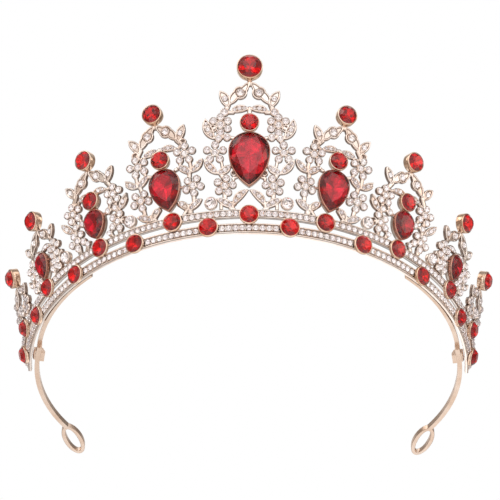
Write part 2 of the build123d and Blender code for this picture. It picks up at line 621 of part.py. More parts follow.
def main():
    os.makedirs("parts", exist_ok=True)

    # --- headband arms, crimp tabs and solder seams -------------------------------
    right_arm = headband_arm()
    save("right_headband_arm", [right_arm])
    save("left_headband_arm", [flip(right_arm)])
    r_out = BAND_R + BAND_W / 2
    r_inn = BAND_R - BAND_W / 2
    tab_pts = [(r_inn - 1.5, 0.05), (r_inn - 1.5, 1.0), (r_inn - 0.65, BAND_H + 0.55),
               (r_out + 0.84, BAND_H + 0.55), (r_out + 0.84, 1.45), (r_out + 0.45, 0.5), (r_out + 0.03, 0.5),
               (r_out + 0.03, BAND_H + 0.03), (r_inn - 0.03, BAND_H + 0.03), (r_inn - 0.03, 0.05)]
    tab = ring_sweep(tab_pts, 1.8, 80.6).solid()
    save("right_crimp_tab", [tab])
    save("left_crimp_tab", [flip(tab)])

    def back_r(z):
        return rz(t_at_z(z, S_BACK), S_BACK)[0] - 0.03
    # fillet of solder in the corner between the top of each arm's tongue and the rail's back
    z0, z1 = STRIP_Z[1] + 0.03, STRIP_Z[1] + 0.9
    seam = ring_sweep([(73.98, z0), (back_r(z0), z0), (back_r(z1), z1)], 11.0, 57.0).solid()
    save("solder_seams", [seam, flip(seam)])

    # --- rails --------------------------------------------------------------------
    low_front = t_at_z(LOWER_RAIL_Z, S_WALL)
    foot = [rz(t_at_z(LOWER_RAIL_Z + 1.1, S_BACK), S_BACK), rz(t_at_z(LOWER_RAIL_Z, RAIL_FOOT), RAIL_FOOT)]
    lower = rail(foot, low_front, LOWER_RAIL_TOP, LOWER_RAIL_END)
    upper = rail([rz(UPPER_RAIL_T[0], S_BACK)], UPPER_RAIL_T[0], UPPER_RAIL_T[1], UPPER_RAIL_END)
    save("lower_rail", [lower])
    save("upper_rail", [upper])

    # --- round crystals on the rails ------------------------------------------------
    lower_angles = [-a for a in LOWER_ANGLES[::-1]] + LOWER_ANGLES
    upper_angles = [-a for a in UPPER_ANGLES[:0:-1]] + UPPER_ANGLES
    cups, gems = [], []
    for a in lower_angles:
        c, g = cup_and_gem(panel_plane(a, LOWER_CUP_T), ROUND_R, S_WALL + 0.03, -0.1, 1.35)
        cups.append(c)
        gems.append(g)
    save("lower_rail_cups", cups)
    save("lower_rail_crystals", gems)
    cups, gems = [], []
    for a in upper_angles:
        c, g = cup_and_gem(panel_plane(a, UPPER_CUP_T), ROUND_R, S_WALL + 0.03, -0.1, 1.35)
        cups.append(c)
        gems.append(g)
    save("upper_rail_cups", cups)
    save("upper_rail_crystals", gems)

    # --- rhinestones in the rail channels ------------------------------------------
    low_t = (low_front + LOWER_RAIL_TOP) / 2
    up_t = (UPPER_RAIL_T[0] + UPPER_RAIL_T[1]) / 2
    cup_r = ROUND_R + CUP_WALL

    def chord(cup_t, row_t, r):
        d = abs(cup_t - row_t)
        return math.sqrt(max(0.0, (cup_r + r) ** 2 - d * d)) - r
    low_block = [(a, chord(LOWER_CUP_T, low_t, PAVE_R)) for a in lower_angles]
    low_block += [(a, chord(UPPER_CUP_T, low_t, PAVE_R)) for a in upper_angles
                  if abs(UPPER_CUP_T - low_t) < cup_r + PAVE_R + 0.1]
    up_block = [(a, chord(UPPER_CUP_T, up_t, PAVE_R)) for a in upper_angles]
    up_block += [(a, chord(LOWER_CUP_T, up_t, PAVE_R)) for a in lower_angles
                 if abs(LOWER_CUP_T - up_t) < cup_r + PAVE_R + 0.1]
    up_block = [b for b in up_block if b[1] > 0]
    low_block = [b for b in low_block if b[1] > 0]
    rows = [panel_plane(a, low_t, S_FLOOR + 0.02) for a in pave_row(low_t, LOWER_RAIL_END, low_block)]
    save("lower_rail_rhinestones", [p.location * STONES[PAVE_R] for p in rows])
    rows = [panel_plane(a, up_t, S_FLOOR + 0.02) for a in pave_row(up_t, UPPER_RAIL_END, up_block)]
    save("upper_rail_rhinestones", [p.location * STONES[PAVE_R] for p in rows])

    # --- clear crystals between the crests -------------------------------------------
    cups, gems = [], []
    for p in SPACER_PLANES:
        c, g = cup_and_gem(p, SPACER_R, S_BACK, S_CREST + 0.35, 0.95, floor=0.5)
        cups += [c, flip(c)]
        gems += [g, flip(g)]
    # --- crests -----------------------------------------------------------------------
    finial_cups, finial_gems, small_cups, small_gems = [], [], [], []
    names = ["centre", "inner", "middle", "outer"]
    for k in range(5):
        plate, stones, plane = crest_parts(k)
        if k == 0:
            save("centre_crest", [plate])
            save("centre_crest_rhinestones", stones)
        else:
            save(f"right_crest_{k}", [plate])
            save(f"left_crest_{k}", [flip(plate)])
            save(f"right_crest_{k}_rhinestones", stones)
            save(f"left_crest_{k}_rhinestones", [flip(s) for s in stones])
        local = lambda t: Plane(plane.location * Location((0, t - 4.1, 0)))
        r = FINIAL_R0 if k == 0 else FINIAL_R
        c, g = cup_and_gem(local(FINIAL_T[k]), r, S_BACK, -0.15, 1.9 if k == 0 else 1.4, floor=0.6)
        if k == 0:
            save("centre_finial_cup", [c])
            save("centre_finial_crystal", [g])
        else:
            finial_cups += [c, flip(c)]
            finial_gems += [g, flip(g)]
        if SMALL_T[k]:
            c, g = cup_and_gem(local(SMALL_T[k]), ROUND_R, S_CREST + 0.03, -0.1, 1.35, wall=SMALL_WALL)
            small_cups += [c] if k == 0 else [c, flip(c)]
            small_gems += [g] if k == 0 else [g, flip(g)]
        if PEAR_T[k]:
            c, g = pear_cup_and_gem(local(PEAR_T[k]), PEAR_W[k], PEAR_L[k], PEAR_CROWN[k])
            save(f"{names[k]}_pear_bezel" + ("s" if k else ""), [c] if k == 0 else [c, flip(c)])
            save(f"{names[k]}_pear_crystal" + ("s" if k else ""), [g] if k == 0 else [g, flip(g)])
        if k == 4:
            c, g = cup_and_gem(local(END_SPACER_T), SPACER_R, S_BACK, S_CREST + 0.35, 0.95, floor=0.5)
            cups += [c, flip(c)]
            gems += [g, flip(g)]
    save("clear_crystal_cups", cups)
    save("clear_crystals", gems)
    save("side_finial_cups", finial_cups)
    save("side_finial_crystals", finial_gems)
    save("small_round_cups", small_cups)
    save("small_round_crystals", small_gems)


main()
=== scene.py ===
import bpy
import math
import numpy as np
from mathutils import Matrix, Vector


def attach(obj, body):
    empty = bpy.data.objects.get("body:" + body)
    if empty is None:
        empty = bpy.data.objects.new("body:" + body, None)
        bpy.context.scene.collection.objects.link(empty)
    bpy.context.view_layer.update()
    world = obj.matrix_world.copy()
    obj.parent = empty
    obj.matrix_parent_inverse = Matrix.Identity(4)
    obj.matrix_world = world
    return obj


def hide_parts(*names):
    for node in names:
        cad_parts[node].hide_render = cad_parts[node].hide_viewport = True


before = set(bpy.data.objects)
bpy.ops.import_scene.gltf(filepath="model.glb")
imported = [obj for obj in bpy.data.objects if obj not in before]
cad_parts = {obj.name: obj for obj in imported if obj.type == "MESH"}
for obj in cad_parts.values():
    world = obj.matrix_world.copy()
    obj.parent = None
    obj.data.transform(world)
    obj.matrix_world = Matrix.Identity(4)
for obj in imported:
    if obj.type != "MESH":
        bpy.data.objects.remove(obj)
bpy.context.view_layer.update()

MM = 0.001

# ---- dimensions shared with the CAD model, in millimetres ---------------------------
RING_R, FLARE, Z_BASE, Y_CENTRE = 78.07, 19.3, 2.772, 73.2
S_BACK, S_FLOOR, S_WALL, S_CREST_FLOOR, S_CREST = -2.9, -2.05, -1.3, -2.2, -1.55
LOWER_RAIL_Z, LOWER_RAIL_TOP, UPPER_RAIL_T, RAIL_FOOT = 1.42, 1.4, (3.3, 6.2), -2.3
LOWER_CUP_T, UPPER_CUP_T = 0.3, 4.0
LOWER_RAIL_END, UPPER_RAIL_END, RAIL_WALL = 88.5, 85.5, 0.45
ROUND_R, FINIAL_R0, FINIAL_R, SPACER_R = 3.0, 4.05, 3.15, 1.9
PAVE_R, PETAL_R, LEAF_R, PETAL_RIM = 0.93, 1.0, 0.72, 0.34
CUP_WALL, SMALL_WALL, FIT = 0.27, 0.22, 0.03
PARTING = [10.14, 28.69, 49.1, 67.7]
LOWER_ANGLES = [9.74, 28.5, 47.5, 66.7, 83.4]
UPPER_ANGLES = [0.0, 18.3, 38.2, 58.5, 75.9]
CREST_LEAN = [0.0, 4.5, -1.2, -2.6, -7.0]
CREST_SHIFT = [0.0, 0.5, 0.6, 0.0, 0.0]
FINIAL_T = [56.6, 43.7, 36.7, 30.1, 23.9]
SMALL_T = [36.42, 26.53, 21.48, None, None]
NECK_T = [42.0, 30.7, 24.6]
PEAR_T = [26.2, 17.8, 13.88, 13.6, None]
PEAR_W = [13.2, 10.2, 8.0, 6.6, None]
PEAR_L = [18.7, 14.6, 10.0, 9.0, None]
PEAR_CROWN = [1.75, 1.45, 1.2, 1.05, None]
SPACERS = [(8.95, 8.95), (29.2, 8.85), (50.0, 8.85)]
END_SPACER_T = 10.9
T0 = 4.1
GAP = 0.025
PHI = math.radians(FLARE)
SP, CP = math.sin(PHI), math.cos(PHI)


# ---- the flared panel surface ---------------------------------------------------------
def point(theta, t, s):
    a = math.radians(theta)
    r = RING_R + t * SP + s * CP
    return np.array([r * math.sin(a), Y_CENTRE - r * math.cos(a), t * CP - s * SP + Z_BASE])


def normal(theta):
    a = math.radians(theta)
    return np.array([math.sin(a) * CP, -math.cos(a) * CP, -SP])


class Place:
    """A local frame on the panel: x across, y up the panel, z outward."""

    def __init__(self, o, x, y, z):
        self.o, self.x, self.y, self.z = o, x, y, z

    def world(self, p):
        p = np.asarray(p, float).reshape(-1, 3)
        return self.o + p[:, :1] * self.x + p[:, 1:2] * self.y + p[:, 2:3] * self.z

    def local(self, p):
        d = np.asarray(p, float) - self.o
        return np.stack([d @ self.x, d @ self.y, d @ self.z], -1)

    def moved(self, x, y, z=0.0):
        return Place(self.o + x * self.x + y * self.y + z * self.z, self.x, self.y, self.z)


def panel_place(theta, t, s=0.0, lean=0.0):
    a, b = math.radians(theta), math.radians(lean)
    x = np.array([math.cos(a), math.sin(a), 0.0])
    n = normal(theta)
    y = np.cross(n, x)
    xd = x * math.cos(b) - y * math.sin(b)
    return Place(point(theta, t, s), xd, np.cross(n, xd), n)


def crest_place(k):
    straight = panel_place(UPPER_ANGLES[k], T0)
    leaned = panel_place(UPPER_ANGLES[k], T0, 0.0, CREST_LEAN[k])
    return Place(straight.o + straight.x * CREST_SHIFT[k], leaned.x, leaned.y, leaned.z), straight


def rz(t, s):
    return RING_R + t * SP + s * CP, t * CP - s * SP + Z_BASE


def t_at_z(z, s):
    return (z - Z_BASE + s * SP) / CP


# ---- mesh store -------------------------------------------------------------------------
class Shape:
    def __init__(self):
        self.v, self.f, self.m, self.c, self.n = [], [], [], [], 0

    def add(self, verts, faces, mat=0, cav=None):
        verts = np.asarray(verts, float).reshape(-1, 3)
        k = self.n
        self.v.append(verts)
        if isinstance(faces, np.ndarray):
            new = (faces + k).tolist()
        else:
            new = [tuple(i + k for i in f) for f in faces]
        self.f += new
        self.m += (list(mat) if isinstance(mat, (list, np.ndarray)) else [mat] * len(new))
        self.c.append(np.zeros(len(verts)) if cav is None else np.asarray(cav, float))
        self.n += len(verts)

    def mirrored(self):
        out = Shape()
        out.v = [v * np.array([-1.0, 1.0, 1.0]) for v in self.v]
        out.f = [tuple(f)[::-1] for f in self.f]
        out.m, out.c, out.n = list(self.m), list(self.c), self.n
        return out

    def extend(self, other):
        for v in other.v:
            self.v.append(v)
        self.f += [tuple(i + self.n for i in f) for f in other.f]
        self.m += other.m
        self.c += other.c
        self.n += other.n


def piece(name, shape, mats, nodes, angle=35.0, smooth=True):
    me = bpy.data.meshes.new(name)
    me.from_pydata((np.concatenate(shape.v) * MM).tolist(), [], shape.f)
    for m in mats:
        me.materials.append(m)
    me.polygons.foreach_set("material_index", np.array(shape.m, np.int32))
    me.polygons.foreach_set("use_smooth", np.full(len(shape.f), smooth, bool))
    # per-vertex amount of painted shade (recesses, floors, outline edges) read by the metal shaders
    att = me.attributes.new("cavity_shade", "FLOAT", "POINT")
    att.data.foreach_set("value", np.concatenate(shape.c).astype(np.float32))
    me.update()
    if smooth:
        me.set_sharp_from_angle(angle=math.radians(angle))
    me.validate(clean_customdata=False)
    o = bpy.data.objects.new(name, me)
    bpy.context.scene.collection.objects.link(o)
    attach(o, "root")
    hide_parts(*nodes)
    return o


# ---- materials ----------------------------------------------------------------------------
def nodes_of(name):
    m = bpy.data.materials.new(name)
    m.use_nodes = True
    nt = m.node_tree
    return m, nt, nt.nodes["Principled BSDF"], nt.nodes["Material Output"]


def srgb(r, g, b):
    def lin(c):
        c /= 255.0
        return c / 12.92 if c <= 0.04045 else ((c + 0.055) / 1.055) ** 2.4
    return (lin(r), lin(g), lin(b), 1.0)


def ramp(nt, src, stops):
    n = nt.nodes.new("ShaderNodeValToRGB")
    cr = n.color_ramp
    while len(cr.elements) < len(stops):
        cr.elements.new(0.5)
    for e, (p, c) in zip(cr.elements, stops):
        e.position = p
        e.color = c if len(c) == 4 else (*c, 1.0)
    nt.links.new(src, n.inputs[0])
    return n.outputs[0]


def noise(nt, vec, scale, detail=3.0, rough=0.55, dist=0.0):
    n = nt.nodes.new("ShaderNodeTexNoise")
    n.inputs["Scale"].default_value = scale
    n.inputs["Detail"].default_value = detail
    n.inputs["Roughness"].default_value = rough
    n.inputs["Distortion"].default_value = dist
    nt.links.new(vec, n.inputs["Vector"])
    return n.outputs["Fac"]


def mix(nt, fac, a, b):
    n = nt.nodes.new("ShaderNodeMix")
    n.data_type = "RGBA"
    for v, i in ((fac, 0), (a, 6), (b, 7)):
        if isinstance(v, (int, float, tuple)):
            n.inputs[i].default_value = v
        else:
            nt.links.new(v, n.inputs[i])
    return n.outputs[2]


def maprange(nt, src, a, b, c, d):
    n = nt.nodes.new("ShaderNodeMapRange")
    for i, v in zip((1, 2, 3, 4), (a, b, c, d)):
        n.inputs[i].default_value = v
    nt.links.new(src, n.inputs[0])
    return n.outputs[0]


def op(nt, kind, a, b=None, c=None):
    n = nt.nodes.new("ShaderNodeMath")
    n.operation = kind
    for i, v in enumerate((a, b, c)):
        if v is None:
            continue
        if isinstance(v, (int, float)):
            n.inputs[i].default_value = v
        else:
            nt.links.new(v, n.inputs[i])
    return n.outputs[0]


def metal(name, pale, warm, dark, rough=(0.14, 0.3), grain=0.12, brushed=0.0, cavity_shade=True):
    """Plated alloy: two tones of plating, painted shade darkening the recesses and edges, fine casting grain and
    hairline scratches.
    """
    m, nt, p, out = nodes_of(name)
    tc = nt.nodes.new("ShaderNodeTexCoord").outputs["Object"]
    broad = noise(nt, tc, 160.0, 3.0)
    fine = noise(nt, tc, 2600.0, 4.0, 0.6)
    base = mix(nt, maprange(nt, broad, 0.38, 0.64, 0.0, 1.0), pale, warm)
    # painted shade: the vertex attribute mixes the base colour towards the dark colour and roughens it
    if cavity_shade:
        at = nt.nodes.new("ShaderNodeAttribute")
        at.attribute_name = "cavity_shade"
        cav = op(nt, "MULTIPLY", at.outputs["Fac"], maprange(nt, fine, 0.3, 0.7, 0.75, 1.1))
        base = mix(nt, maprange(nt, cav, 0.0, 1.0, 0.0, 0.95), base, dark)
    nt.links.new(base, p.inputs["Base Color"])
    p.inputs["Metallic"].default_value = 1.0
    smear = noise(nt, tc, 420.0, 5.0, 0.65, 0.6)
    r = maprange(nt, smear, 0.3, 0.7, rough[0], rough[1])
    if cavity_shade:
        r = op(nt, "ADD", r, op(nt, "MULTIPLY", at.outputs["Fac"], 0.22))
    nt.links.new(r, p.inputs["Roughness"])
    # hairline scratches: noise stretched along one direction
    mp = nt.nodes.new("ShaderNodeMapping")
    mp.inputs["Scale"].default_value = (1.0, 1.0, 14.0) if brushed else (3.0, 9.0, 1.0)
    mp.inputs["Rotation"].default_value = (0.3, 0.5, 0.2) if not brushed else (0.0, 0.0, 0.0)
    nt.links.new(tc, mp.inputs["Vector"])
    hair = noise(nt, mp.outputs[0], 900.0 if brushed else 500.0, 2.0, 0.7)
    height = op(nt, "ADD", op(nt, "MULTIPLY", fine, 1.0), op(nt, "MULTIPLY", hair, 0.6 + brushed))
    bump = nt.nodes.new("ShaderNodeBump")
    bump.inputs["Strength"].default_value = grain
    bump.inputs["Distance"].default_value = 0.00006
    nt.links.new(height, bump.inputs["Height"])
    nt.links.new(bump.outputs[0], p.inputs["Normal"])
    return m


def crystal(name, tint, deep, ior=1.55, rough=0.015):
    """Upper facets of a glass stone: clear coloured glass, a little uneven, with faint polishing marks."""
    m, nt, p, out = nodes_of(name)
    tc = nt.nodes.new("ShaderNodeTexCoord").outputs["Object"]
    cloud = noise(nt, tc, 320.0, 2.0)
    nt.links.new(mix(nt, maprange(nt, cloud, 0.35, 0.65, 0.0, 1.0), tint, deep), p.inputs["Base Color"])
    p.inputs["Transmission Weight"].default_value = 1.0
    p.inputs["IOR"].default_value = ior
    wipe = noise(nt, tc, 900.0, 3.0)
    nt.links.new(maprange(nt, wipe, 0.3, 0.8, rough, rough + 0.05), p.inputs["Roughness"])
    return m


def foil(name, tint, deep, rough=(0.05, 0.16)):
    """Mirror foil behind a stone, seen through the glass."""
    m, nt, p, out = nodes_of(name)
    tc = nt.nodes.new("ShaderNodeTexCoord").outputs["Object"]
    cloud = noise(nt, tc, 500.0, 3.0)
    nt.links.new(mix(nt, maprange(nt, cloud, 0.35, 0.65, 0.0, 1.0), tint, deep), p.inputs["Base Color"])
    p.inputs["Metallic"].default_value = 1.0
    nt.links.new(maprange(nt, cloud, 0.3, 0.7, rough[0], rough[1]), p.inputs["Roughness"])
    return m


# the third colour is the painted shade laid into recesses and along edges
PALE, WARM, RECESS_SHADE = srgb(251, 241, 234), srgb(242, 222, 209), srgb(96, 72, 62)
crest_metal = metal("rose_gold_casting", PALE, WARM, RECESS_SHADE, (0.13, 0.28), 0.16)
bezel_metal = metal("rose_gold_bezel", srgb(206, 160, 142), srgb(176, 118, 100), srgb(84, 44, 36), (0.08, 0.2), 0.08)
rail_metal = metal("rose_gold_rail", PALE, srgb(241, 222, 209), RECESS_SHADE, (0.12, 0.26), 0.12)
cup_metal = metal("rose_gold_cup", srgb(246, 222, 202), srgb(228, 190, 160), srgb(104, 70, 50), (0.07, 0.18), 0.08)
band_metal = metal("rose_gold_band", srgb(222, 201, 185), srgb(212, 186, 166), RECESS_SHADE, (0.22, 0.4), 0.10, 1.0, cavity_shade=False)
solder_metal = metal("soft_solder", srgb(214, 206, 198), srgb(196, 184, 174), srgb(90, 80, 74), (0.28, 0.5), 0.5, cavity_shade=False)
red_glass = crystal("red_glass", (0.92, 0.085, 0.105, 1), (0.84, 0.05, 0.075, 1))
red_foil = foil("red_foil", (0.89, 0.07, 0.08, 1), (0.54, 0.026, 0.036, 1))
crimson_glass = crystal("crimson_glass", (0.77, 0.07, 0.175, 1), (0.69, 0.042, 0.13, 1))
# darker copy of the crimson glass for the pears' crown facets: painted shade
crimson_shaded_glass = crystal("crimson_crown_painted_shade", (0.56, 0.02, 0.065, 1), (0.44, 0.012, 0.045, 1))
crimson_foil = foil("crimson_foil", (0.80, 0.05, 0.15, 1), (0.42, 0.014, 0.058, 1))
clear_glass = crystal("clear_glass", (1.0, 0.98, 0.98, 1), (0.98, 0.95, 0.96, 1), 1.6)
clear_foil = foil("clear_foil", (1.0, 0.985, 0.985, 1), (0.93, 0.89, 0.90, 1), (0.04, 0.12))


# ---- crystals -------------------------------------------------------------------------------
def gem_mesh(ring, centre, table, crown, girdle, depth, star=0.78, low=0.3, z0=0.0):
    """Brilliant cut over any outline of 2n points: table, stars, kites, upper and lower girdle facets, mains.
    z0 is the girdle's top. Returns vertices, faces, and 0 for glass or 1 for foil per face."""
    ring = np.asarray(ring, float)
    n = len(ring) // 2
    c = np.asarray(centre, float)
    co = math.cos(math.pi / n)
    zs = crown * (1 - star * co) / (1 - table)
    zp = -girdle - (depth - girdle) * (1 - low * co)
    v = []
    for i in range(n):
        q = c + table * (ring[2 * i] - c)
        v.append((q[0], q[1], z0 + crown))
    for i in range(n):
        q = c + star * (ring[2 * i + 1] - c)
        v.append((q[0], q[1], z0 + zs))
    for q in ring:
        v.append((q[0], q[1], z0))
    for q in ring:
        v.append((q[0], q[1], z0 - girdle))
    for i in range(n):
        q = c + low * (ring[2 * i + 1] - c)
        v.append((q[0], q[1], z0 + zp))
    v.append((c[0], c[1], z0 - depth))
    T, S, G, L, P, C = 0, n, 2 * n, 4 * n, 6 * n, 7 * n
    f, m = [tuple(range(n))], [0]
    for i in range(n):
        j, h = (i + 1) % n, (i - 1) % n
        a, b, d = 2 * i, 2 * i + 1, (2 * i + 2) % (2 * n)
        f.append((T + i, S + i, T + j)); m.append(0)
        f.append((T + i, S + h, G + a)); m.append(0)
        f.append((T + i, G + a, S + i)); m.append(0)
        f.append((S + i, G + a, G + b)); m.append(0)
        f.append((S + i, G + b, G + d)); m.append(0)
        f.append((P + i, L + b, L + a)); m.append(1)
        f.append((P + i, L + d, L + b)); m.append(1)
        f.append((C, L + a, P + h)); m.append(1)
        f.append((C, P + i, L + a)); m.append(1)
    for i in range(2 * n):
        j = (i + 1) % (2 * n)
        f.append((G + i, L + i, L + j, G + j)); m.append(1)
    return np.array(v), f, m


def round_ring(r, n=8, turn=0.0):
    return [(r * math.cos(turn + math.pi * i / n), r * math.sin(turn + math.pi * i / n)) for i in range(2 * n)]


def pear_line(w, length, grow=0.0, n=96):
    """Closed pear outline, counter-clockwise from the top, with the point at the bottom as sample n/2."""
    r = w / 2 + grow
    low = length - w / 2 + grow * 1.5
    ra = (r * r + low * low) / (2 * r)
    span = math.asin(low / ra)
    quarter, side = r * math.pi / 2, ra * span
    out = []
    for i in range(n):
        u = i / (n / 2)
        sign = -1.0
        if u > 1:
            u, sign = 2 - u, 1.0
        d = u * (quarter + side)
        if d <= quarter:
            a = d / r
            x, y = r * math.sin(a), r * math.cos(a)
        else:
            b = (d - quarter) / ra
            x, y = (r - ra) + ra * math.cos(b), -ra * math.sin(b)
        out.append((sign * x, y))
    return out


def put_gem(shape, place, ring, centre, table, crown, girdle, depth, z0, star=0.78, low=0.3, deep=False):
    v, f, m = gem_mesh(ring, centre, table, crown, girdle, depth, star, low, z0)
    if deep:
        # painted shade: the sloping crown facets get a darker copy of the same glass, the table keeps the plain tint
        m = [2 if (q == 0 and i > 0) else q for i, q in enumerate(m)]
    shape.add(place.world(v), f, m)


def small_stone(shape, place, r, turn):
    """Rhinestone standing in a seat whose floor is the place's origin."""
    h = 0.72 + 0.62 * min(1.0, r / 0.9)
    put_gem(shape, place, round_ring(r, 8, turn), (0, 0), 0.54, h - 0.72, 0.1, 0.70, 0.72, 0.79, 0.34)


# ---- cups -----------------------------------------------------------------------------------
def loft(shape, place, rows, cav):
    """rows: list of closed outlines [(x, y, z)...] with equal counts, first and last closed by a fan; the last argument
    gives each row's painted shade.
    """
    n = len(rows[0])
    v = np.concatenate([np.asarray(r, float) for r in rows])
    c = np.repeat(cav, n)
    f = []
    for a in range(len(rows) - 1):
        for i in range(n):
            j = (i + 1) % n
            f.append((a * n + i, a * n + j, (a + 1) * n + j, (a + 1) * n + i))
    top, bot = len(v), len(v) + 1
    v = np.concatenate([v, [np.mean(rows[0], 0)], [np.mean(rows[-1], 0)]])
    c = np.concatenate([c, [cav[0]], [cav[-1]]])
    last = (len(rows) - 1) * n
    for i in range(n):
        j = (i + 1) % n
        f.append((top, j, i))
        f.append((bot, last + i, last + j))
    shape.add(place.world(v), f, 0, c)


def cup(shape, place, line, back, rim, wall, floor, gem_wall=FIT, belt=True):
    """Bezel cup: turned foot, belt line under the lip, lip rolled over the stone's girdle. line(grow) gives an outline."""
    h = rim - back
    # third number of each profile row: painted shade, darker under the foot, in the belt groove and inside the lip
    prof = [(wall - 0.30, back, 0.6), (wall - 0.14, back + 0.0, 0.3), (wall - 0.03, back + 0.08, 0.1), (wall, back + 0.2, 0.0)]
    if belt and h > 0.9:
        prof += [(wall, rim - 0.52, 0.0), (wall - 0.02, rim - 0.47, 0.5), (wall - 0.08, rim - 0.43, 1.0),
                 (wall - 0.08, rim - 0.38, 1.0), (wall - 0.02, rim - 0.34, 0.4), (wall, rim - 0.29, 0.0)]
    prof += [(wall, rim - 0.2, 0.0), (wall - 0.03, rim - 0.12, 0.0), (wall * 0.62, rim - 0.03, 0.0),
             (0.05, rim + 0.01, 0.0), (-0.03, rim + 0.015, 0.4), (gem_wall, rim - 0.06, 1.0),
             (gem_wall, back + floor + 0.05, 1.0), (gem_wall - 0.05, back + floor, 1.0)]
    rows = [[(x, y, z) for x, y in line(g)] for g, z, c in prof]
    loft(shape, place, rows, np.array([c for g, z, c in prof]))


def round_line(r, n=40):
    return lambda g: [((r + g) * math.cos(2 * math.pi * i / n), (r + g) * math.sin(2 * math.pi * i / n)) for i in range(n)]


